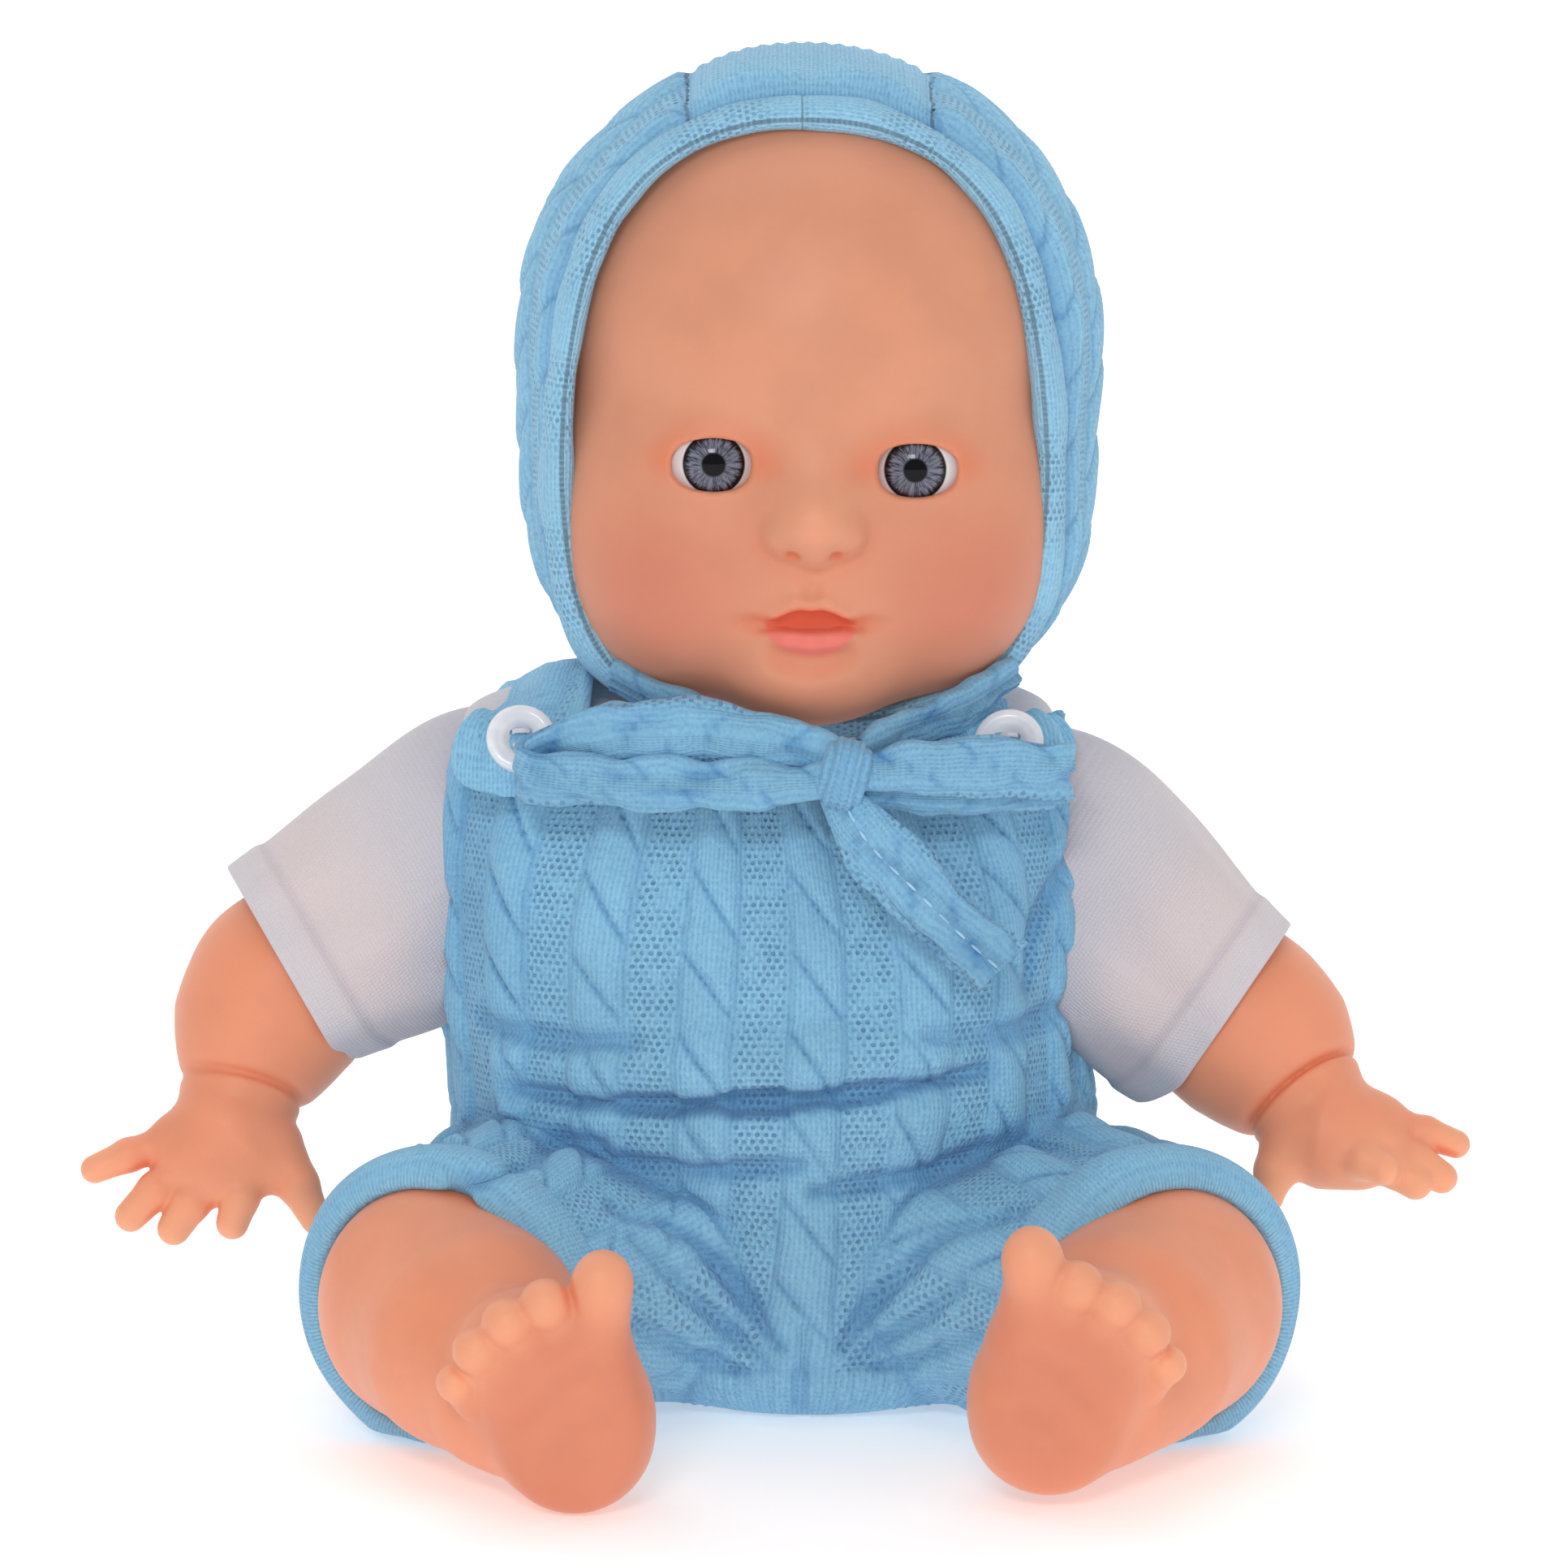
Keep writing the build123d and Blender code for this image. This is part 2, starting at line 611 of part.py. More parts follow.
with BuildPart() as speaker_frame:
    with Locations(facing_front(-1.0, SPEAKER_Z)):
        Cylinder(SPEAKER_R, 8.6, align=(Align.CENTER, Align.CENTER, Align.MIN))
        Cylinder(
            SPEAKER_R - 0.8, 5.4, align=(Align.CENTER, Align.CENTER, Align.MIN), mode=Mode.SUBTRACT
        )
        Cylinder(SPEAKER_R - 1.8, 9, align=(Align.CENTER, Align.CENTER, Align.MIN), mode=Mode.SUBTRACT)
save(speaker_frame.part, "speaker_frame")

with BuildPart() as speaker_cone:
    with Locations(facing_front(-6.7, SPEAKER_Z)):
        Cone(4.2, SPEAKER_R - 2, 2.4, align=(Align.CENTER, Align.CENTER, Align.MIN))
        Cone(
            3.6,
            SPEAKER_R - 2.6,
            2.4,
            align=(Align.CENTER, Align.CENTER, Align.MIN),
            mode=Mode.SUBTRACT,
        )
        Cylinder(4.2, 0.5, align=(Align.CENTER, Align.CENTER, Align.MIN))
save(speaker_cone.part, "speaker_cone")

with BuildPart() as speaker_magnet:
    with Locations(facing_front(-1.2, SPEAKER_Z)):
        Cylinder(7.2, 5.0, align=(Align.CENTER, Align.CENTER, Align.MIN))
save(speaker_magnet.part, "speaker_magnet")


# ---- arms -----------------------------------------------------------------------------
def arm_pieces(name, shoulder, hem, elbow, wrist, palm, thumb, tips):
    """A sleeve, its stuffed upper arm and tie, and the vinyl arm that turns in them."""
    root, end = Vector(*shoulder), Vector(*hem)
    axis = (end - root).normalized()
    length = (end - root).length
    outward = 1 if shoulder[0] > 0 else -1
    side_plane = shoulder[0] + outward * 2.6

    def along(distance):
        return root + axis * distance

    def keep_outside():
        """Cuts off what would reach the torso's side as the arm swings."""
        with Locations((side_plane, 0, 0)):
            Box(
                200,
                400,
                400,
                align=(Align.MIN if outward > 0 else Align.MAX, Align.CENTER, Align.CENTER),
                mode=Mode.INTERSECT,
            )

    tied = length - 12  # where the vinyl arm's flange is tied in
    with BuildPart() as sleeve:
        with Locations(Plane(origin=root, z_dir=axis)):
            Cone(20.5, 14.6, length, align=(Align.CENTER, Align.CENTER, Align.MIN))
            Cone(
                19.6,
                13.7,
                length,
                align=(Align.CENTER, Align.CENTER, Align.MIN),
                mode=Mode.SUBTRACT,
            )
        keep_outside()
    save(sleeve.part, f"sleeve_{name}")

    with BuildPart() as cushion:
        with Locations(Plane(origin=root, z_dir=axis)):
            Cone(14.6, 12.4, tied + 4, align=(Align.CENTER, Align.CENTER, Align.MIN))
        keep_outside()
        with Locations(Plane(origin=along(tied - 2), z_dir=axis)):
            Cylinder(
                ARM_R, 30, align=(Align.CENTER, Align.CENTER, Align.MIN), mode=Mode.SUBTRACT
            )
    save(cushion.part, f"upper_arm_cushion_{name}")

    with BuildPart() as tie:
        with Locations(Plane(origin=along(tied + 0.6), z_dir=axis)):
            Cylinder(13.6, 2.4, align=(Align.CENTER, Align.CENTER, Align.MIN))
            Cone(
                12.95,
                12.9,
                2.4,
                align=(Align.CENTER, Align.CENTER, Align.MIN),
                mode=Mode.SUBTRACT,
            )
        add(sleeve.part, mode=Mode.SUBTRACT)
    save(tie.part, f"arm_tie_{name}")

    bend = Vector(*elbow)
    hand_root = Vector(*wrist)
    fore = (hand_root - bend).normalized()
    stations = [
        (along(tied - 1), axis, ARM_R - 0.6),
        (along(tied + 2), axis, ARM_R - 0.9),
        (along(tied + 7), axis, ARM_R - 0.3),
        (along(length), axis, ARM_R + 0.3),
        (bend, (axis + fore).normalized(), ARM_R + 0.8),
        (hand_root, fore, 8.4),
    ]
    inner = [(p, d, r - ARM_WALL) for p, d, r in stations[:-1]]
    inner[0] = (along(tied - 1.2), axis, ARM_R - 0.6 - ARM_WALL)
    with BuildPart() as arm:
        add(limb(stations, (0, 1, 0)))
        capsules([(wrist, 8.2), (palm, 8.6)])
        capsules([(palm, 3.6), (thumb, 2.5)])
        for tip in tips:
            capsules([(palm, 4.2), (tip, 2.5)])
        add(limb(inner, (0, 1, 0)), mode=Mode.SUBTRACT)
    save(arm.part, f"vinyl_arm_{name}")


arm_pieces(
    "left",
    shoulder=(-50, 0, 79),
    hem=(-73.5, -4, 66),
    elbow=(-79, -6, 59),
    wrist=(-82, -11, 45),
    palm=(-83, -14, 38),
    thumb=(-71.5, -20, 28),
    tips=[(-83, -22, 27), (-91.5, -21, 27), (-98, -20, 29), (-102, -17, 35)],
)
arm_pieces(
    "right",
    shoulder=(38.6, 0, 75),
    hem=(61.5, -4, 58.5),
    elbow=(66, -6, 52.5),
    wrist=(73, -10, 43.5),
    palm=(78, -13, 38.5),
    thumb=(68, -21, 31),
    tips=[(84, -24, 35.5), (89, -22, 33), (93, -20, 33.5), (95, -15, 37)],
)


# ---- legs -----------------------------------------------------------------------------
FOOT_Z = 17.8
with BuildPart() as hip_clearance:
    with BuildSketch(Plane.YZ):
        with Locations((0, HIP_Z)):
            Circle(SEAT_R + GAP)
        with Locations((BELLY_Y, HIP_Z)):
            Rectangle(100, 60, align=Align.MIN)
    extrude(amount=120, both=True)


def leg_pieces(name, side):
    """The romper's leg cuff, stuffed thigh and tie, and the vinyl leg that turns in them."""
    splay = radians(SPLAY)
    root = Vector(side * THIGH_START[0], THIGH_START[1], HIP_Z)
    axis = Vector(side * sin(splay), -cos(splay), 0)

    def along(distance):
        return root + axis * distance

    with BuildPart() as cuff:
        with Locations(Plane(origin=root, z_dir=axis)):
            Cylinder(CUFF_R, THIGH_LENGTH, align=(Align.CENTER, Align.CENTER, Align.MIN))
            Cylinder(
                CUFF_R - CUFF_WALL,
                THIGH_LENGTH,
                align=(Align.CENTER, Align.CENTER, Align.MIN),
                mode=Mode.SUBTRACT,
            )
        add(hip_clearance.part, mode=Mode.SUBTRACT)
    save(cuff.part, f"leg_cuff_{name}")

    tied = THIGH_LENGTH - 12
    with BuildPart() as cushion:
        with Locations(Plane(origin=root, z_dir=axis)):
            Cylinder(
                THIGH_R - GAP - 0.6, tied + 4, align=(Align.CENTER, Align.CENTER, Align.MIN)
            )
        add(hip_clearance.part, mode=Mode.SUBTRACT)
        with Locations(Plane(origin=along(tied - 1), z_dir=axis)):
            Cylinder(
                THIGH_R - 2, 30, align=(Align.CENTER, Align.CENTER, Align.MIN), mode=Mode.SUBTRACT
            )
    save(cushion.part, f"thigh_cushion_{name}")

    with BuildPart() as tie:
        with Locations(Plane(origin=along(tied + 0.8), z_dir=axis)):
            Cylinder(THIGH_R + 0.2, 2.4, align=(Align.CENTER, Align.CENTER, Align.MIN))
            Cylinder(
                THIGH_R - GAP - 0.5,
                2.4,
                align=(Align.CENTER, Align.CENTER, Align.MIN),
                mode=Mode.SUBTRACT,
            )
    save(tie.part, f"leg_tie_{name}")

    knee = along(THIGH_LENGTH + 3)
    ankle = Vector(side * 38, -73, 14)
    shin = (ankle - knee).normalized()
    stations = [
        (along(tied), axis, THIGH_R - 2.5),
        (along(tied + 3), axis, THIGH_R - 2.8),
        (along(tied + 7), axis, THIGH_R - 1),
        (along(THIGH_LENGTH), axis, THIGH_R - 0.4),
        (knee + axis * 2, (axis + shin).normalized(), THIGH_R - 0.6),
        (ankle, (shin + Vector(0, -1, 0)).normalized(), 12.4),
    ]
    inner = [(p, d, r - LEG_WALL) for p, d, r in stations[:-1]]
    inner[0] = (along(tied - 0.2), axis, THIGH_R - 2.5 - LEG_WALL)
    tilt = side * 17
    with BuildPart() as leg:
        add(limb(stations, (0, 0, 1)))
        # foot: the sole looks forwards, heel down and toes up
        with BuildPart(mode=Mode.PRIVATE) as sole:
            for y, long, wide in ((-70, 30, 18), (-79, 35, 24), (-88, 30, 20)):
                with BuildSketch(Plane(origin=(0, y, 0), x_dir=(1, 0, 0), z_dir=(0, -1, 0))):
                    Ellipse(wide / 2, long / 2)
            loft()
        add(Pos(side * 35, 0, FOOT_Z - 0.2) * Rot(0, tilt, 0) * sole.part)
        toes = ((-7, 15.5, 4.3), (-1, 15.2, 3.1), (4, 13.2, 2.9), (8, 10, 2.8), (11, 6, 2.5))
        turn = Rot(0, tilt, 0)
        for across, up, radius in toes:
            place = turn * Pos(side * across, -83.5, up)
            x, y, z = place.position
            with Locations((x + side * 35, y, z + FOOT_Z)):
                Sphere(radius)
        with Locations((0, 0, 0)):
            Box(400, 400, 60, align=(Align.CENTER, Align.CENTER, Align.MAX), mode=Mode.SUBTRACT)
        add(limb(inner, (0, 0, 1)), mode=Mode.SUBTRACT)
    save(leg.part, f"vinyl_leg_{name}")


leg_pieces("left", -1)
leg_pieces("right", 1)

print(len(written), "nodes")
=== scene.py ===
"""A seated baby doll in a cable-knit romper and bonnet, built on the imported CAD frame.

Soft and vinyl forms are modelled as distance fields on grids, in millimetres, and turned into
meshes. The doll faces -Y and sits on z = 0. Left and right are as seen from the front.
"""
import math

import bmesh
import bpy
import numpy as np
import openvdb as vdb
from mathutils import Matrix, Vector


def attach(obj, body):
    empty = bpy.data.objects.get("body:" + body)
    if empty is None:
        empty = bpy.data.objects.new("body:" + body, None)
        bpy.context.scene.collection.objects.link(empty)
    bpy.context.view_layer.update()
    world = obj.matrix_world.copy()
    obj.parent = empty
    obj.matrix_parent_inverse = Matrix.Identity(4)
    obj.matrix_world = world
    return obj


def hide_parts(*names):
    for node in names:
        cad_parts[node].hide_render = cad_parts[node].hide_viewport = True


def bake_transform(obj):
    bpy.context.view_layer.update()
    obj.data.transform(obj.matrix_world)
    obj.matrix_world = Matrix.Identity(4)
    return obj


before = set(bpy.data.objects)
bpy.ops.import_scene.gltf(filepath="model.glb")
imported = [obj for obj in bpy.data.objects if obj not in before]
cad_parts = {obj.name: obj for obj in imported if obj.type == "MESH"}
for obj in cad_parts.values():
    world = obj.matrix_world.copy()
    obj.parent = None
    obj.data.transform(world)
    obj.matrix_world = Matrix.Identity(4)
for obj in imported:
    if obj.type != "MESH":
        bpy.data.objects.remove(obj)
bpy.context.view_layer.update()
bpy.context.scene.view_settings.view_transform = "Standard"

MM = 0.001
SIDES = {"left": -1, "right": 1}


# ------------------------------------------------------------------ small maths


def vec(*values):
    return np.array(values, float)


def unit(v):
    v = np.asarray(v, float)
    return v / np.maximum(np.linalg.norm(v, axis=-1, keepdims=True), 1e-9)


def step(low, high, value):
    """0 below low, 1 above high, smooth between them. low may be the larger."""
    t = np.clip((value - low) / (high - low), 0, 1)
    return t * t * (3 - 2 * t)


def melt(a, b, soft):
    """The union of two fields, rounded over soft mm where they meet."""
    h = np.clip(0.5 + 0.5 * (b - a) / soft, 0, 1)
    return b + (a - b) * h - soft * h * (1 - h)


def carve(form, tool, soft):
    """What is left of a field when another is taken from it."""
    return -melt(-form, tool, soft)


def lengths(path):
    """How far along a line each of its points is."""
    return np.concatenate([[0], np.cumsum(np.linalg.norm(np.diff(path, axis=0), axis=1))])


def curve(points, count):
    """A smooth line through the points, as count points evenly spaced along it."""
    p = np.asarray(points, float)
    ends = np.vstack([2 * p[0] - p[1], p, 2 * p[-1] - p[-2]])
    fine = []
    for i in range(len(p) - 1):
        a, b, c, d = ends[i : i + 4]
        t = np.linspace(0, 1, 24, endpoint=i == len(p) - 2)[:, None]
        fine.append(
            0.5 * (2 * b + (c - a) * t + (2 * a - 5 * b + 4 * c - d) * t**2)
            + 0.5 * (3 * b - a - 3 * c + d) * t**3
        )
    fine = np.vstack(fine)
    run = lengths(fine)
    even = np.linspace(0, run[-1], count)
    return np.stack([np.interp(even, run, fine[:, k]) for k in range(fine.shape[1])], axis=1)


# ------------------------------------------------------------------ modelling clay


class Clay:
    """Distances in mm to a surface, kept on a grid, that shapes are added to and cut from."""

    def __init__(self, low, high, cell):
        axes = [np.arange(a, b + cell, cell, dtype=np.float32) for a, b in zip(low, high)]
        self.low, self.cell, self.axes = np.array(low, np.float32), cell, axes
        self.x, self.y, self.z = np.meshgrid(*axes, indexing="ij", sparse=True)
        self.d = np.full([len(a) for a in axes], 99.0, np.float32)

    def window(self, centre, reach):
        """The same clay near a point, so that small work there stays quick."""
        near = object.__new__(Clay)
        cuts = []
        for axis, c in zip(self.axes, centre):
            a, b = np.searchsorted(axis, [c - reach, c + reach])
            cuts.append(slice(max(a, 0), min(b, len(axis))))
        near.axes = [axis[cut] for axis, cut in zip(self.axes, cuts)]
        near.low = np.array([a[0] for a in near.axes], np.float32)
        near.cell = self.cell
        near.x, near.y, near.z = np.meshgrid(*near.axes, indexing="ij", sparse=True)
        near.d = self.d[tuple(cuts)]
        return near

    def add(self, shape, soft=0.5):
        self.d[...] = melt(self.d, shape, soft)

    def cut(self, shape, soft=0.5):
        self.d[...] = carve(self.d, shape, soft)

    def trim(self, shape):
        """Keep only what is inside the shape, with a sharp edge."""
        self.d[...] = np.maximum(self.d, shape)

    def blob(self, at, radii, turn=0.0):
        """An ellipsoid, turned about Y in degrees."""
        x, y, z = self.x - at[0], self.y - at[1], self.z - at[2]
        if turn:
            c, s = math.cos(math.radians(turn)), math.sin(math.radians(turn))
            x, z = c * x - s * z, s * x + c * z
        a, b, c = radii
        k = np.sqrt((x / a) ** 2 + (y / b) ** 2 + (z / c) ** 2)
        g = np.sqrt((x / a**2) ** 2 + (y / b**2) ** 2 + (z / c**2) ** 2)
        return k * (k - 1) / np.maximum(g, 1e-5)

    def bone(self, a, b, ra, rb):
        """A round bar from a to b whose radius goes from ra to rb."""
        a, b = vec(*a), vec(*b)
        ab = b - a
        t = (self.x - a[0]) * ab[0] + (self.y - a[1]) * ab[1] + (self.z - a[2]) * ab[2]
        t = np.clip(t / max(ab @ ab, 1e-6), 0, 1)
        dx, dy, dz = self.x - a[0] - t * ab[0], self.y - a[1] - t * ab[1], self.z - a[2] - t * ab[2]
        return np.sqrt(dx * dx + dy * dy + dz * dz) - (ra + (rb - ra) * t)

    def chain(self, points, radii, soft=1.0):
        """Bars joined end to end."""
        whole = None
        for i in range(len(points) - 1):
            bar = self.bone(points[i], points[i + 1], radii[i], radii[i + 1])
            whole = bar if whole is None else melt(whole, bar, soft)
        return whole

    def skin(self, x, z):
        """Where the surface is, coming from the front at x and z."""
        i = int(round((x - self.low[0]) / self.cell))
        k = int(round((z - self.low[2]) / self.cell))
        column = self.d[i, :, k]
        j = int(np.argmax(column < 0))
        if j == 0:
            return float(self.axes[1][0])
        t = column[j - 1] / (column[j - 1] - column[j])
        return float(self.axes[1][j - 1] + t * self.cell)

    def at(self, points):
        """The field's value at each point."""
        g = (np.asarray(points, np.float32) - self.low) / self.cell
        g = np.clip(g, 0, np.array(self.d.shape) - 1.001)
        i = g.astype(int)
        f = g - i
        total = np.zeros(len(g), np.float32)
        for a in (0, 1):
            for b in (0, 1):
                for c in (0, 1):
                    w = np.abs(1 - a - f[:, 0]) * np.abs(1 - b - f[:, 1]) * np.abs(1 - c - f[:, 2])
                    total += w * self.d[i[:, 0] + a, i[:, 1] + b, i[:, 2] + c]
        return total

    def slope(self, points, reach=None):
        """The outward direction of the field at each point."""
        reach = reach or self.cell
        out = []
        for k in range(3):
            move = np.zeros(3, np.float32)
            move[k] = reach
            out.append(self.at(points + move) - self.at(points - move))
        return unit(np.stack(out, axis=1))

    def hollow(self, points, normals, reach):
        """How far each point lies in a crease, from 0 to 1."""
        return np.clip(1 - self.at(points + normals * reach) / reach, 0, 1)

    def surface(self):
        """The mesh of the surface: points in mm and faces with their fronts outside."""
        grid = vdb.FloatGrid(3 * self.cell)
        grid.copyFromArray(np.clip(self.d, -3 * self.cell, 3 * self.cell))
        points, quads = grid.convertToQuads(0.0)
        points = points.astype(float) * self.cell + self.low
        quads = quads.astype(np.int64)
        some = quads[:: max(1, len(quads) // 400)]
        a, b, c = points[some[:, 0]], points[some[:, 1]], points[some[:, 2]]
        if (np.cross(b - a, c - a) * self.slope(a)).sum() < 0:
            quads = quads[:, ::-1]
        return points, quads


# ------------------------------------------------------------------ meshes


def link(name, data):
    obj = bpy.data.objects.new(name, data)
    bpy.context.scene.collection.objects.link(obj)
    return obj


def knit_marks(s, t, lace, fold_shade):
    """What the knitted finishes read: wales across, rows along, open work, and the painted shade of folds and
    creases.
    """
    return {"knit": np.stack([s, t, lace], 1), "fold_shade": fold_shade}


def make(name, points, faces, paint, marks=None, level=0):
    """A mesh object from points in mm. marks are named values, one per point."""
    mesh = bpy.data.meshes.new(name)
    mesh.from_pydata((np.asarray(points) * MM).tolist(), [], [list(map(int, f)) for f in faces])
    for key, values in (marks or {}).items():
        values = np.asarray(values, np.float32)
        kind, field = ("FLOAT", "value") if values.ndim == 1 else ("FLOAT_VECTOR", "vector")
        mesh.attributes.new(key, kind, "POINT").data.foreach_set(field, values.ravel())
    mesh.polygons.foreach_set("use_smooth", [True] * len(mesh.polygons))
    mesh.materials.append(paint)
    obj = link(name, mesh)
    if level:
        smooth = obj.modifiers.new("smooth", "SUBSURF")
        smooth.levels = smooth.render_levels = level
    return obj


def place(obj, body, slot, *nodes):
    """The piece rides on a body and stands for CAD nodes, which are hidden. slot is not used."""
    if nodes:
        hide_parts(*nodes)
    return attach(obj, body)


def sweep(path, section, up, closed=False, ends=True):
    """Points and faces of a form drawn along a path. section(t) gives its outline there, across and
    up in mm, and up(t) the direction that counts as up. The marks are the way round and along."""
    path = np.asarray(path, float)
    n = len(path)
    ahead = np.roll(path, -1, axis=0) - np.roll(path, 1, axis=0)
    if not closed:
        ahead[0], ahead[-1] = path[1] - path[0], path[-1] - path[-2]
    ahead = unit(ahead)
    run = lengths(path)
    points, around, along = [], [], []
    for i in range(n):
        t = run[i] / run[-1]
        tall = np.asarray(up(t), float)
        tall = unit(tall - ahead[i] * (tall @ ahead[i]))
        side = np.cross(ahead[i], tall)
        outline = np.asarray(section(t), float)
        points.append(path[i] + outline[:, :1] * side + outline[:, 1:] * tall)
        gaps = np.linalg.norm(np.roll(outline, -1, axis=0) - outline, axis=1)
        around.append(np.concatenate([[0], np.cumsum(gaps)[:-1]]))
        along.append(np.full(len(outline), run[i]))
    m = len(points[0])
    faces = []
    for i in range(n if closed else n - 1):
        for j in range(m):
            a, b = i * m, (i + 1) % n * m
            k = (j + 1) % m
            faces.append((a + j, a + k, b + k, b + j))
    if not closed and ends:
        faces.append(tuple(range(m))[::-1])
        faces.append(tuple(range((n - 1) * m, n * m)))
    points = np.vstack(points)
    return outward(points, faces), faces, np.concatenate(around), np.concatenate(along)


def outward(points, faces):
    """Turns the faces round in place if they look inward."""
    total = 0.0
    for f in faces:
        a = points[f[0]]
        for j in range(1, len(f) - 1):
            total += a @ np.cross(points[f[j]], points[f[j + 1]])
    if total < 0:
        faces[:] = [f[::-1] for f in faces]
    return points


def oval(width, height, count=24, power=2.0):
    """An outline from round (2) towards square (higher powers)."""
    t = np.linspace(0, 2 * math.pi, count, endpoint=False)
    c, s = np.cos(t), np.sin(t)
    return np.stack(
        [
            width / 2 * np.sign(c) * np.abs(c) ** (2 / power),
            height / 2 * np.sign(s) * np.abs(s) ** (2 / power),
        ],
        axis=1,
    )


def ball(centre, radius, rings=48, turns=64):
    """A sphere's points and faces, with its poles on the Y axis."""
    points = [vec(0, -radius, 0)]
    for i in range(1, rings):
        a = math.pi * i / rings
        t = np.linspace(0, 2 * math.pi, turns, endpoint=False)
        ring = np.stack([np.sin(a) * np.cos(t), np.full(turns, -np.cos(a)), np.sin(a) * np.sin(t)], 1)
        points.extend(ring * radius)
    points.append(vec(0, radius, 0))
    points = np.array(points)
    faces = []
    for j in range(turns):
        k = (j + 1) % turns
        faces.append((0, 1 + j, 1 + k))
        for i in range(rings - 2):
            a, b = 1 + i * turns, 1 + (i + 1) * turns
            faces.append((a + j, b + j, b + k, a + k))
        a = 1 + (rings - 2) * turns
        faces.append((a + j, len(points) - 1, a + k))
    outward(points, faces)
    return points + centre, faces


STITCH_SUNK = 0.12


def stitches(name, path, normals, paint, length, gap, thick):
    """A row of sewing stitches along a path that lies on a surface."""
    path, normals = np.asarray(path, float), np.asarray(normals, float)
    run = lengths(path)
    starts = np.arange(gap / 2, run[-1] - length, length + gap)
    points, faces = [], []
    shape, shape_faces = ball(vec(0, 0, 0), 1.0, 6, 8)
    for start in starts:
        where = [np.interp(start + length / 2, run, path[:, k]) for k in range(3)]
        tip = [np.interp(start + length, run, path[:, k]) for k in range(3)]
        tail = [np.interp(start, run, path[:, k]) for k in range(3)]
        out = unit([np.interp(start + length / 2, run, normals[:, k]) for k in range(3)])
        ahead = unit(vec(*tip) - vec(*tail))
        side = np.cross(out, ahead)
        base = len(points) * len(shape)
        stitch = (
            shape[:, 1:2] * ahead * length / 2
            + shape[:, :1] * side * thick / 2
            + shape[:, 2:] * out * thick / 2
        )
        points.append(stitch + where - out * STITCH_SUNK)
        faces.extend(tuple(base + i for i in f) for f in shape_faces)
    return make(name, np.vstack(points), faces, paint)


# ------------------------------------------------------------------ materials


class Paint:
    """A material being built from nodes round one Principled shader."""

    def __init__(self, name, **inputs):
        self.material = bpy.data.materials.new(name)
        self.material.use_nodes = True
        self.tree = self.material.node_tree
        self.shader = self.tree.nodes["Principled BSDF"]
        for key, value in inputs.items():
            self.feed(self.shader.inputs[key.replace("_", " ")], value)

    def feed(self, socket, value):
        if isinstance(value, bpy.types.NodeSocket):
            self.tree.links.new(value, socket)
        elif isinstance(value, tuple) and socket.type == "RGBA":
            socket.default_value = (*value[:3], 1)
        else:
            socket.default_value = value

    def node(self, kind, inputs=(), **settings):
        made = self.tree.nodes.new("ShaderNode" + kind)
        for key, value in settings.items():
            setattr(made, key, value)
        for key, value in dict(inputs).items():
            self.feed(made.inputs[key], value)
        return made.outputs[0]

    def math(self, operation, a, b=0.0):
        return self.node("Math", {0: a, 1: b}, operation=operation)

    def plus(self, a, b):
        return self.math("ADD", a, b)

    def less(self, a, b):
        return self.math("SUBTRACT", a, b)

    def times(self, a, b):
        return self.math("MULTIPLY", a, b)

    def over(self, a, b):
        return self.math("DIVIDE", a, b)

    def ramp(self, value, low, high):
        """0 below low, 1 above high."""
        inputs = {"Value": value, "From Min": low, "From Max": high}
        return self.node("MapRange", inputs, interpolation_type="SMOOTHSTEP", clamp=True)

    def mix(self, factor, a, b):
        made = self.tree.nodes.new("ShaderNodeMix")
        made.data_type = "RGBA"
        self.feed(made.inputs[0], factor)
        self.feed(made.inputs[6], a)
        self.feed(made.inputs[7], b)
        return made.outputs[2]

    def mark(self, name, out="Fac"):
        made = self.tree.nodes.new("ShaderNodeAttribute")
        made.attribute_name = name
        return made.outputs[out]

    def split(self, vector):
        made = self.tree.nodes.new("ShaderNodeSeparateXYZ")
        self.feed(made.inputs[0], vector)
        return made.outputs

    def place(self):
        return self.tree.nodes.new("ShaderNodeTexCoord").outputs["Object"]

    def noise(self, scale, detail=2.0, vector=None, rough=0.5):
        inputs = {"Vector": vector or self.place(), "Scale": scale, "Detail": detail}
        return self.node("TexNoise", {**inputs, "Roughness": rough})

    def bump(self, height, distance, strength=1.0):
        inputs = {"Height": height, "Distance": distance, "Strength": strength}
        self.feed(self.shader.inputs["Normal"], self.node("Bump", inputs))

    def colour(self, value):
        self.feed(self.shader.inputs["Base Color"], value)
        return self.material


def srgb(r, g, b):
    """A colour as seen on a screen, for the shader."""
    return tuple(((v / 255 + 0.055) / 1.055) ** 2.4 if v > 10 else v / 255 / 12.92 for v in (r, g, b))


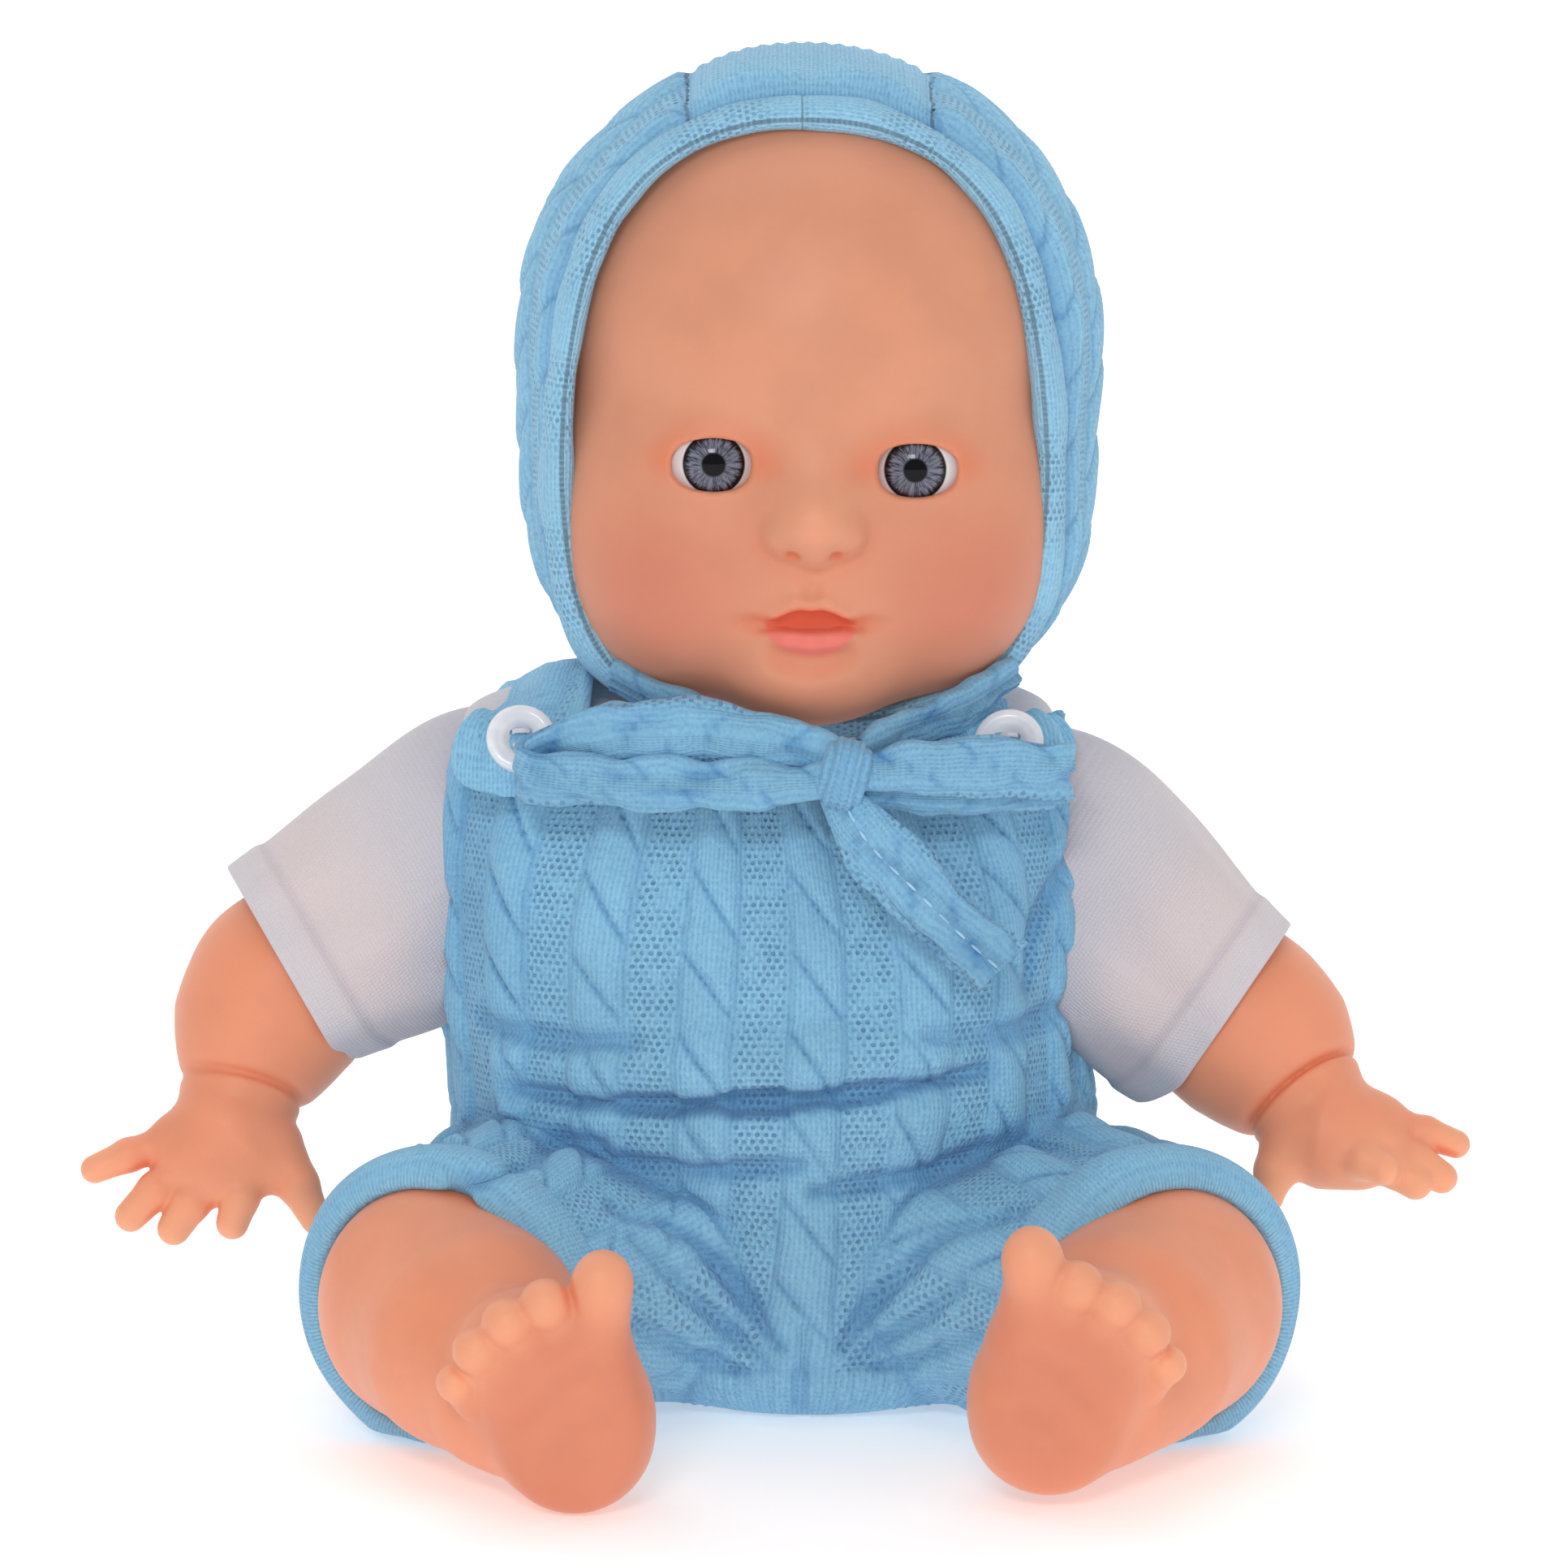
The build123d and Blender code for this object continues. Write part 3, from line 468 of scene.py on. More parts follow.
def vinyl(name, base, warm):
    """Soft matt doll vinyl with the faint grain of a sprayed finish; warm painted shade in its creases mixed
    with its own blush, painted highlights, and a faint warm glow that lifts its shadows.
    """
    p = Paint(
        name,
        Roughness=0.46,
        Subsurface_Weight=0.3,
        Subsurface_Radius=(1.0, 0.45, 0.25),
        Subsurface_Scale=0.004,
        Specular_IOR_Level=0.38,
        Sheen_Weight=0.08,
        # the warm emission is painted light: a glow that lifts the skin's shadows to orange
        Emission_Color=(0.9, 0.32, 0.17),
        Emission_Strength=0.075,
    )
    mottle = p.noise(90, 4)
    tone = p.mix(p.ramp(mottle, 0.35, 0.7), base, tuple(v * 0.93 for v in base))
    # lighter spots: painted highlights on the nose tip and philtrum, and lighter finger and toe tips
    tone = p.mix(p.times(p.mark("pale"), 0.75), tone, srgb(236, 172, 134))
    # warm painted shade in creases, recesses and under hems, mixed with the doll's own blush round the eyes
    tone = p.mix(p.mark("blush_and_shade"), tone, warm)
    tone = p.mix(p.mark("rosy"), tone, srgb(190, 104, 84))
    tone = p.mix(p.mark("upper"), tone, srgb(214, 92, 66))
    tone = p.mix(p.mark("lip"), tone, srgb(224, 106, 100))
    tone = p.mix(p.mark("mouth"), tone, srgb(212, 76, 42))
    grain = p.noise(2600, 2)
    wave = p.noise(160, 2)
    p.bump(p.plus(p.times(grain, 0.10), p.times(wave, 0.35)), 0.0002)
    return p.colour(tone)


def knit(name, base=srgb(145, 202, 232), ribs=0.62, rib_depth=0.5):
    """Fine acrylic knit: wales and stitches from the piece's own rib coordinates, and the holes of
    the open-work strips where the third coordinate says so."""
    deep = srgb(54, 118, 176)
    p = Paint(name, Roughness=0.88, Sheen_Weight=0.35, Sheen_Roughness=0.45)
    p.feed(p.shader.inputs["Sheen Tint"], srgb(214, 236, 255))
    s, t, lace = p.split(p.mark("knit", "Vector"))
    fuzz = p.noise(1500, 3)
    drift = p.times(p.less(p.noise(320, 2), 0.5), 0.5)
    across = p.plus(s, drift)
    row = p.over(p.plus(t, drift), 0.98)
    odd = p.times(p.math("FLOORED_MODULO", p.math("FLOOR", row), 2), 0.5)
    u = p.less(p.math("FRACT", p.plus(p.over(across, 1.02), odd)), 0.5)
    v = p.less(p.math("FRACT", row), 0.5)
    away = p.math("SQRT", p.plus(p.times(u, u), p.times(v, v)))
    open_work = p.times(lace, p.ramp(p.noise(420, 2), 0.25, 0.6))
    hole = p.times(p.ramp(away, 0.36, 0.10), open_work)
    wale = p.math("ABSOLUTE", p.math("SINE", p.times(across, math.pi / ribs)))
    lean = p.times(wale, 0.5)
    loop = p.math("SINE", p.times(p.plus(p.over(t, 0.78), lean), 2 * math.pi))
    stitch = p.times(p.plus(p.times(wale, 0.75), p.times(loop, 0.2)), rib_depth)
    height = p.less(p.plus(stitch, p.times(fuzz, 0.8)), p.times(hole, 1.5))
    p.bump(height, 0.00032, 0.8)
    shade = p.mix(p.ramp(p.noise(60, 3), 0.3, 0.75), base, tuple(v * 0.90 for v in base))
    # painted shade between the wales
    shade = p.mix(p.times(p.less(1.0, wale), 0.16), shade, deep)
    shade = p.mix(p.times(p.ramp(fuzz, 0.62, 0.3), 0.22), shade, deep)
    # painted shade in folds, creases and the cables' grooves
    shade = p.mix(p.mark("fold_shade"), shade, deep)
    # painted shade in the open-work holes
    shade = p.mix(p.times(hole, 0.5), shade, srgb(44, 112, 176))
    return p.colour(shade)


def jersey(name):
    """Thin white cotton jersey, with grey painted shade in its folds and between its loops."""
    base, scale = srgb(213, 206, 210), 0.55
    p = Paint(name, Roughness=0.9, Sheen_Weight=0.25, Sheen_Roughness=0.5)
    s, t, lace = p.split(p.mark("knit", "Vector"))
    fuzz = p.noise(1800, 2)
    wale = p.math("ABSOLUTE", p.math("SINE", p.times(s, math.pi / scale)))
    loop = p.math("ABSOLUTE", p.math("SINE", p.times(t, math.pi / scale)))
    weave = p.times(wale, loop)
    p.bump(p.plus(p.times(weave, 0.6), p.times(fuzz, 0.5)), 0.00018, 0.7)
    # painted shade between the loops of the weave
    tone = p.mix(p.times(p.less(1.0, weave), 0.12), base, srgb(186, 178, 188))
    tone = p.mix(p.times(lace, 0.45), tone, srgb(236, 196, 184))
    # grey painted shade in the folds
    tone = p.mix(p.times(p.mark("fold_shade"), 0.6), tone, srgb(160, 152, 172))
    return p.colour(tone)


def plain(name, base, worn, rough, scale=200, grain=0.0001, **more):
    """A moulded, metal or paper finish with some variation and a fine surface grain."""
    p = Paint(name, Roughness=rough, **more)
    patch = p.noise(scale, 4)
    p.bump(p.noise(scale * 9, 3), grain, 0.5)
    return p.colour(p.mix(p.ramp(patch, 0.35, 0.72), base, worn))


SKIN = vinyl("face_vinyl", srgb(211, 145, 115), srgb(214, 108, 70))
LIMB = vinyl("limb_vinyl", srgb(226, 146, 112), srgb(220, 104, 62))
KNIT = knit("cable_knit")
# the bonnet's knit is a lighter copy of the romper's, painted light on the top; the bow's is a darker copy,
# painted shade
BONNET = knit("bonnet_knit", base=srgb(154, 207, 234))
BOW = knit("bow_knit", base=srgb(134, 188, 218))
RIB = knit("ribbed_knit", ribs=1.1, rib_depth=1.0)
WHITE = jersey("white_jersey")
THREAD = plain("blue_thread", srgb(176, 214, 242), srgb(140, 190, 232), 0.7, 900)
WHITE_THREAD = plain("white_thread", srgb(228, 228, 236), srgb(200, 200, 214), 0.7, 900)
BUTTON = plain(
    "button_pearl", srgb(238, 240, 244), srgb(222, 226, 234), 0.32, 260, 0.00005, Coat_Weight=0.3
)


# ------------------------------------------------------------------ the knit's relief

REPEAT = 12.9  # one cable and one open-work strip
CABLE = 6.6
LOBE = 11.5
SLANT = 1.6


def cable(s, t, rise=1.35):
    """Height over the backing, depth of shade and open-work mask, s mm across and t mm along."""
    across = np.mod(s, REPEAT)
    u = (across - CABLE / 2) / (CABLE / 2)
    inside = np.clip(1 - u * u, 0, 1)
    turn = np.mod((t + across * SLANT) / LOBE, 1)
    lobe = np.clip(turn * 5, 0, 1) ** 0.6 * (1 - 0.55 * turn**3)
    height = rise * np.sqrt(inside) * (0.15 + 0.95 * lobe)
    crease = np.exp(-((np.minimum(turn, 1 - turn) / 0.05) ** 2)) * step(0.0, 0.35, inside)
    edge = np.exp(-(((np.abs(u) - 1.0) / 0.12) ** 2))
    lace = step(CABLE + 0.1, CABLE + 0.8, across) * (1 - step(REPEAT - 0.8, REPEAT - 0.1, across))
    return height, np.clip(0.85 * crease + 0.35 * edge, 0, 1), lace


def smooth_noise(points, size, seed):
    """Soft random values from -1 to 1 over about size mm, the same on every run."""
    rng = np.random.default_rng(seed)
    total = np.zeros(len(points))
    for _ in range(6):
        direction = unit(rng.normal(size=3))
        total += np.sin(points @ direction / size * rng.uniform(0.7, 1.5) * 2 + rng.uniform(0, 6.3))
    return total / 3.2


# ------------------------------------------------------------------ head

HEAD = vec(2.0, 0.0, 148.0)
EYE_SPREAD = 14.2
EYE_BALL = 8.6
EYE_Y = -25.4
EYE_Z = {"left": 138.8, "right": 138.0}
MOUTH = vec(1.5, 0.0, 116.4)


def head_form(clay):
    """The doll's head without its features."""
    x = HEAD[0]
    form = clay.blob((x, 2, 152.5), (38.2, 39, 39.2))
    form = melt(form, clay.blob((x, -3, 130), (34.6, 33, 24.5)), 8)
    for side in (-1, 1):
        jowl = clay.blob((x + side * 14.3 - 1, -13, 120.3), (19, 20, 17.4))
        form = melt(form, jowl, 7)
        cheek = clay.blob((x + side * 16.7 - 1.2, -9, 131), (19.8, 24, 21))
        form = melt(form, cheek, 7)
    return form


def eye_opening(x, z):
    """How far a point seen from the front is from the edge of the lids."""
    shape = np.abs(x / 6.0) ** 1.9 + np.abs(z / 3.8) ** 2.7
    return (np.sqrt(shape) - 1) * 3.8


def mouth_edges(x):
    """Heights of the upper lip's lower edge, the mouth's lower edge and the lower lip's foot."""
    wide = np.clip(1 - (x / 7.0) ** 2, 0, 1)
    bow = 0.5 * np.exp(-((x / 1.3) ** 2))
    peak = np.clip(1 - np.abs(x / 7.0) ** 1.35, 0, 1)
    upper = MOUTH[2] - 0.5 + 3.1 * peak - 1.3 * bow
    lower = MOUTH[2] - 0.55 - 0.45 * wide
    foot = lower - 3.8 * np.clip(1 - (x / 6.5) ** 2, 0, 1) ** 0.62
    return upper, lower, foot


def sculpt_head():
    clay = Clay((-40.5, -45, 98), (44.5, 44.5, 195), 0.5)
    x0 = HEAD[0]
    clay.add(head_form(clay), 0.1)
    clay.add(clay.blob((x0, -21.5, 117.5), (13.5, 14.2, 10.5)), 6)
    clay.add(clay.blob((x0 - 0.4, -21, 109.4), (13.4, 13.0, 9.4)), 5)
    for side in (-1, 1):
        clay.add(clay.blob((x0 + side * 17.2, -20, 122), (12, 13, 10.5)), 6)
    for name, side in SIDES.items():
        x, z = x0 + side * EYE_SPREAD, EYE_Z[name]
        eye = clay.window((x, -32, z), 16)
        eye.cut(eye.blob((x, -44.3, z + 0.6), (10.0, 8.2, 7.6)), 6)
        eye.add(eye.blob((x, EYE_Y, z), (EYE_BALL + 1.1,) * 3), 2.2)
        hole = np.maximum(eye_opening(eye.x - x, eye.z - z), eye.y + 27.5)
        eye.cut(hole, 0.7)
    nose = clay.window((x0, -34, 134), 26)
    nose.add(nose.bone((x0, -30.6, 144), (x0, -33.4, 135), 3.0, 3.9), 9)
    nose.add(nose.blob((x0, -35.6, 131.4), (5.0, 4.6, 4.9)), 4.5)
    nose.add(nose.blob((x0, -38.6, 130.4), (4.3, 3.8, 3.9)), 3.2)
    for side in (-1, 1):
        nose.add(nose.blob((x0 + side * 4.5, -36.3, 129.2), (2.5, 3.2, 2.7)), 1.9)
    nose.add(nose.bone((x0, -38.2, 127.6), (x0, -36.4, 126.0), 1.8, 1.4), 2.0)
    for side in (-1, 1):
        x = x0 + side * 3.1
        at = (x, nose.skin(x, 126.5) + 0.1, 126.5)
        nose.cut(nose.blob(at, (1.1, 1.1, 0.7), turn=side * 18), 0.6)
    mouth = clay.window((MOUTH[0], -34, 116), 14)
    groove = [(x0 - 0.3, mouth.skin(x0, z) - 0.75, z) for z in (123.6, 121.8, 120.2)]
    mouth.cut(mouth.chain(groove, [0.4, 0.6, 0.5]), 1.9)
    upper = [(-7.2, 116.2), (-4.8, 117.7), (-2.2, 119.3), (0, 118.9), (2.2, 119.3), (4.8, 117.7), (7.2, 116.2)]
    line = [(MOUTH[0] + x, mouth.skin(MOUTH[0] + x, z) + 0.5, z) for x, z in upper]
    mouth.add(mouth.chain(line, [0.2, 0.5, 0.8, 0.7, 0.8, 0.5, 0.2]), 1.4)
    lower = [(-5.9, 115.4), (-3.4, 114.3), (0, 113.8), (3.4, 114.3), (5.9, 115.4)]
    line = [(MOUTH[0] + x, mouth.skin(MOUTH[0] + x, z) + 0.75, z) for x, z in lower]
    mouth.add(mouth.chain(line, [0.7, 1.5, 1.85, 1.5, 0.7]), 1.2)
    top, low, _ = mouth_edges(mouth.x - MOUTH[0])
    front = mouth.skin(MOUTH[0], 117.0)
    gap = np.maximum(np.maximum(mouth.z - top, low - mouth.z), mouth.y - (front + 2.4))
    mouth.cut(np.maximum(gap, np.abs(mouth.x - MOUTH[0]) - 7.4), 0.6)
    for side in (-1, 1):
        x = MOUTH[0] + side * 8.4
        mouth.cut(mouth.blob((x, mouth.skin(x, 116.2) - 0.6, 116.2), (2.4, 1.1, 0.8)), 1.8)
    dimple = [(-5, 110.9), (0, 110.4), (5, 110.9)]
    line = [(MOUTH[0] + x, mouth.skin(MOUTH[0] + x, z) - 0.7, z) for x, z in dimple]
    mouth.cut(mouth.chain(line, [0.8, 1.2, 0.8]), 2.6)
    return clay


def finish_head(clay):
    points, faces = clay.surface()
    normals = clay.slope(points, 0.7)
    x, y, z = points.T
    x0 = HEAD[0]
    front = step(-20, -26, y)
    # warm painted shade in the face's creases, kept off the philtrum
    crease = clay.hollow(points, normals, 2.2)
    lip_groove = np.exp(-(((x - x0) / 2.6) ** 2) - ((z - 122) / 4) ** 2)
    blush_and_shade = 0.5 * step(0.10, 0.55, crease) * front * (1 - 0.75 * lip_groove)
    # painted shade in the nostrils
    for side in (-1, 1):
        nostril = ((x - x0 - side * 3.1) / 1.15) ** 2 + ((z - 126.4) / 0.75) ** 2
        blush_and_shade = np.maximum(blush_and_shade, 0.9 * np.exp(-(nostril**1.5)) * front)
    # the doll's own painted blush round the eyes, on the lids and at the corners
    for name, side in SIDES.items():
        dx, dz = x - x0 - side * EYE_SPREAD, z - EYE_Z[name]
        ring = np.exp(-((eye_opening(dx, dz) / 1.8) ** 2)) * step(-4.5, 2.0, dz)
        lid = np.exp(-(((np.hypot(dx / 1.35, dz) - 6.0) / 1.5) ** 2)) * step(-1, 3, dz)
        corner = np.exp(-(((np.abs(dx) - 7.2) / 2.4) ** 2) - (dz / 1.8) ** 2)
        blush_and_shade = np.maximum(blush_and_shade, (0.34 * ring + 0.16 * lid + 0.26 * corner) * front)
    rosy = np.zeros(len(points))
    for side in (-1, 1):
        spot = ((x - x0 - side * 23) / 14) ** 2 + ((z - 120) / 13) ** 2
        rosy += 0.62 * np.exp(-spot) * front
    rosy += 0.12 * np.exp(-(((x - x0) / 10) ** 2) - ((z - 105) / 4.5) ** 2) * front
    mx = x - MOUTH[0]
    top, low, foot = mouth_edges(mx)
    near = step(-26, -29, y)
    inside = step(0.15, -0.2, np.maximum(z - top, low - z)) * (np.abs(mx) < 7.5) * near
    lip = step(0.25, -0.25, z - low) * step(0.7, -0.7, foot - z) * step(7.0, 5.8, np.abs(mx)) * near
    over = np.exp(-((np.maximum(z - top, 0) / 0.55) ** 2)) * (z > top - 0.1) * step(7.2, 5.5, np.abs(mx))
    # painted highlights: on the nose tip, and a light line down the philtrum
    pale = 0.35 * np.exp(-(((x - x0) / 5) ** 2) - ((z - 132) / 5) ** 2) * front
    pale += 0.1 * np.exp(-(((x - x0) / 7) ** 2) - ((z - 122) / 4) ** 2) * front
    marks = {
        "blush_and_shade": np.clip(blush_and_shade, 0, 0.9),
        "rosy": rosy,
        "lip": lip * 0.8,
        "upper": np.clip(over * near * 0.8, 0, 1),
        "mouth": inside,
        "pale": pale,
    }
    head = make("head", points, faces, SKIN, marks)
    return place(head, "head", "vinyl_skin", "head_shell")


def iris_paint():
    """White, limbal ring, streaked grey iris and pupil, by distance from the middle in mm."""
    p = Paint("glass_eye", Roughness=0.3, Specular_IOR_Level=0.0, Coat_Weight=0.4, Coat_Roughness=0.03)
    u, v, _ = p.split(p.mark("gaze", "Vector"))
    r = p.math("SQRT", p.plus(p.times(u, u), p.times(v, v)))
    inputs = {"X": p.over(u, r), "Y": p.over(v, r), "Z": p.times(r, 0.06)}
    spoke = p.node("CombineXYZ", inputs)
    streak = p.ramp(p.noise(8.5, 3, spoke, 0.7), 0.38, 0.64)
    fine = p.ramp(p.noise(17, 2, spoke, 0.6), 0.4, 0.62)
    iris = p.mix(streak, srgb(54, 55, 64), srgb(112, 115, 130))
    iris = p.mix(p.times(fine, 0.3), iris, srgb(146, 150, 166))
    rim = p.ramp(p.plus(r, p.times(streak, -0.35)), 2.95, 3.85)
    iris = p.mix(rim, iris, srgb(27, 19, 21))
    iris = p.mix(p.ramp(r, 1.85, 1.5), iris, srgb(40, 42, 50))
    iris = p.mix(p.ramp(r, 1.62, 1.42), iris, (0.002, 0.002, 0.003))
    white = p.mix(p.ramp(p.noise(150, 2), 0.4, 0.8), srgb(226, 224, 226), srgb(206, 208, 216))
    return p.colour(p.mix(p.ramp(r, 4.2, 4.45), iris, white))


def make_eyes():
    paint = iris_paint()
    for name, side in SIDES.items():
        centre = vec(HEAD[0] + side * EYE_SPREAD, EYE_Y, EYE_Z[name])
        points, faces = ball(centre, EYE_BALL, 72, 96)
        local = points - centre
        gaze = local[:, [0, 2]] - vec(0.0, 0.1)
        away = np.hypot(*gaze.T)
        bulge = 0.45 * np.clip(1 - (away / 5.2) ** 2, 0, 1) * (local[:, 1] < 0)
        points += unit(local) * bulge[:, None]
        far = np.where(local[:, 1] < 0, 1.0, 9.0)[:, None]
        marks = {"gaze": np.hstack([gaze * far, np.zeros((len(points), 1))])}
        eye = make(f"eye_{name}", points, faces, paint, marks)
        nodes = [f"eye_white_{name}", f"iris_{name}", f"eye_lens_{name}"]
        place(eye, "head", "eye_white", *nodes)


# ------------------------------------------------------------------ bonnet

BAND_X = 0.6
BAND_Z = 144.6
BAND_HALF = [  # half of the face opening's outline, seen from the front
    (0, 187.2),
    (9.5, 186.2),
    (19, 182.2),
    (26.5, 175.2),
    (31.3, 165.5),
    (33.9, 153.5),
    (35.1, 141),
    (34.9, 129),
    (33.4, 118.5),
    (29.6, 110),
    (23.2, 104.3),
    (13.5, 101),
    (0, 99.9),
]


def band_path(count, grow=0.0):
    """The edge of the face opening: round above and squarer along the jaw."""
    half = np.array(BAND_HALF, float)
    left = half[-2:0:-1] * vec(-1, 1)
    loop = np.vstack([half, left])
    fine = curve(np.vstack([loop[-2:], loop, loop[:3]]), 900)
    start = int(np.argmin(np.abs(fine[:450] - loop[0]).sum(1)))
    stop = 450 + int(np.argmin(np.abs(fine[450:] - loop[0]).sum(1)))
    fine = fine[start : stop + 1]
    run = lengths(fine)
    even = np.linspace(0, run[-1], count, endpoint=False)
    x, z = (np.interp(even, run, fine[:, k]) for k in (0, 1))
    away = unit(np.stack([x, z - BAND_Z], 1))
    x, z = BAND_X + x + away[:, 0] * grow, z + away[:, 1] * grow
    y = -19.6 + 2.2 * step(135, 108, z) + 1.6 * step(165, 186, z)
    return np.stack([x, y, z], 1)


def make_bonnet():
    clay = Clay((-46, -22, 99), (50, 50, 200), 0.6)
    x0 = HEAD[0] - 0.7
    form = clay.blob((x0, 2.5, 152.5), (42.0, 43.4, 43.4))
    form = melt(form, clay.blob((x0, -1, 131), (39.6, 37, 27)), 8)
    for side in (-1, 1):
        form = melt(form, clay.blob((x0 + side * 17, -8, 124), (20.5, 23, 20)), 6)
    clay.add(form, 0.1)
    outer = Clay((-46, -22, 99), (50, 50, 200), 0.6)
    outer.d[...] = clay.d
    clay.cut(form + 2.2, 0.4)
    clay.trim(-(clay.y + 17.5))
    clay.trim(104.0 - 0.14 * (clay.y + 17) - clay.z)
    points, faces = clay.surface()
    normals = outer.slope(points, 1.5)
    skin = step(-1.2, -0.4, outer.at(points)) * step(-17.3, -15.5, points[:, 1])
    x, y, z = points.T
    crown = 17.4
    dx = x - x0
    # over the crown the wales run front to back, and on the sides they follow the face
    around = np.arctan2(dx, z - 146) * 43
    back = y + 17.5
    s_side, t_side = back + 2.6, around
    height, fold_shade, lace = cable(s_side, t_side)
    middle = step(crown + 1.2, crown - 1.2, np.abs(dx)) * (z > 120)
    seam = np.exp(-(((np.abs(dx) - crown) / 1.1) ** 2)) * step(118, 124, z)
    pucker = smooth_noise(points * vec(1, 0.35, 1), 9, 3) * 0.55
    ribs = 0.16 * np.cos(dx * 2 * math.pi / 2.2)
    rise = (1 - middle) * height * 1.2 + middle * (0.3 + ribs + pucker * 0.8) - 0.45 * seam
    rise += 2.2 * np.abs(np.sin(around / 5.6)) * step(24, 0, back) * step(26, 16, np.abs(dx)) * (z > 150)
    rise += 0.35 * smooth_noise(points, 13, 9)
    points = points + normals * (rise * skin)[:, None]
    across, rows = np.where(middle > 0.5, dx, s_side), np.where(middle > 0.5, back, t_side)
    # painted shade in the cables' creases, along the seam groove and where the bonnet meets the band
    fold_shade = np.clip(fold_shade * (1 - middle) + 0.35 * seam + 0.45 * step(2.5, 0, back), 0, 1) * 0.55
    marks = knit_marks(across, rows, lace * (1 - middle) * skin, fold_shade)
    part = np.where((np.abs(dx) <= crown) & (z > 118), 0, np.where(dx < 0, 1, 2))
    face_part = part[faces[:, 0]]
    names = ["bonnet_crown", "bonnet_side_left", "bonnet_side_right"]
    nodes = ["bonnet_centre_panel", "bonnet_side_panel_left", "bonnet_side_panel_right"]
    for k in range(3):
        obj = cut_out(names[k], points, faces[face_part == k], BONNET, marks)
        place(obj, "head", "blue_knit", nodes[k])


def cut_out(name, points, faces, paint, marks):
    """A piece made of some of a mesh's faces, with its open rims closed."""
    used, index = np.unique(faces, return_inverse=True)
    faces = index.reshape(faces.shape)
    obj = make(name, points[used], faces, paint, {k: v[used] for k, v in marks.items()})
    bm = bmesh.new()
    bm.from_mesh(obj.data)
    rim = [e for e in bm.edges if e.is_boundary]
    loops = rim_loops(rim)
    loops.sort(key=len, reverse=True)
    if len(loops) == 2:
        bmesh.ops.bridge_loops(bm, edges=[e for loop in loops for e in loop])
    elif loops:
        for loop in loops:
            bmesh.ops.holes_fill(bm, edges=loop, sides=0)
    for f in bm.faces:
        f.smooth = True
    for e in rim:
        e.smooth = False
    bm.to_mesh(obj.data)
    bm.free()
    return obj


def rim_loops(edges):
    """The boundary edges sorted into separate loops."""
    left, loops = set(edges), []
    while left:
        start = left.pop()
        loop, grow = [start], [start]
        while grow:
            edge = grow.pop()
            for vert in edge.verts:
                for other in vert.link_edges:
                    if other in left:
                        left.remove(other)
                        loop.append(other)
                        grow.append(other)
        loops.append(loop)
    return loops


def make_band():
    """The folded binding round the face, with a row of sewing behind it."""
    path = band_path(420)
    centre = vec(BAND_X, 0, BAND_Z - 1)

    def profile(t):
        puff = 1 + 0.05 * math.sin(t * 61) + 0.04 * math.sin(t * 37 + 1)
        shape = oval(7.4, 4.4 * puff, 28, 2.3)
        shape[:, 1] += 0.25 * np.cos(shape[:, 0] * 0.8)
        return shape

    angle = np.arctan2(path[:, 2] - centre[2], path[:, 0] - centre[0])
    ups = np.stack([np.cos(angle), np.zeros(len(angle)), np.sin(angle)], 1)
    run = np.linspace(0, 1, len(path))
    points, faces, s, t = sweep(
        path, profile, lambda k: [np.interp(k, run, ups[:, j]) for j in range(3)], closed=True
    )
    normals = unit(points - np.repeat(path, 28, axis=0))
    patch = step(-0.7, 0.9, np.sin(t / 4.1 + 0.6 * np.sin(t / 17)))
    rise = 0.3 * patch + 0.2 * smooth_noise(points, 3.5, 5)
    points = points + normals * rise[:, None]
    # painted shade in the low spots of the band's puffing
    marks = knit_marks(s, t, 0.9 * (1 - patch), 0.25 * step(-0.2, -1.0, rise))
    band = make("bonnet_band", points, faces, BONNET, marks)
    place(band, "head", "blue_knit", "bonnet_face_band")
    edge = band_path(420, 2.7) + vec(0, 3.3, 0)
    out = unit(edge - vec(BAND_X, 12, BAND_Z))
    row = stitches("bonnet_band_stitches", edge, out, THREAD, 1.5, 0.9, 0.4)
    place(row, "head", "blue_knit")


# ------------------------------------------------------------------ romper

HIP = {"left": vec(-30, 0, 20.2), "right": vec(30, 0, 20.2)}
SPLAY = math.radians(25.2)
TORSO = np.array(
    [  # height, half width, front, back, middle, squareness
        (-6, 24, 8, 14, 0, 2.2),
        (0, 34, 11, 20, 0, 2.2),
        (4, 40, 13, 24, 0, 2.2),
        (12, 45, 17.5, 27, 0, 2.2),
        (24, 47, 25, 28, -1.5, 2.2),
        (36, 47.2, 31.5, 28, -3, 2.3),
        (46, 46.2, 33, 27, -4.5, 2.4),
        (58, 46.4, 31.5, 26, -5.6, 2.6),
        (72, 46.8, 29, 25, -6, 2.9),
        (84, 46.8, 26, 22.5, -6.2, 3.0),
        (92, 46.6, 23, 19.5, -6.4, 3.0),
        (97, 45.6, 19, 16.5, -6.2, 2.9),
        (101, 42, 13, 12, -5.5, 2.6),
        (106, 30, 7, 7, -4, 2.4),
    ]
)


def leg_axis(side):
    return vec(side * math.sin(SPLAY), -math.cos(SPLAY), 0)


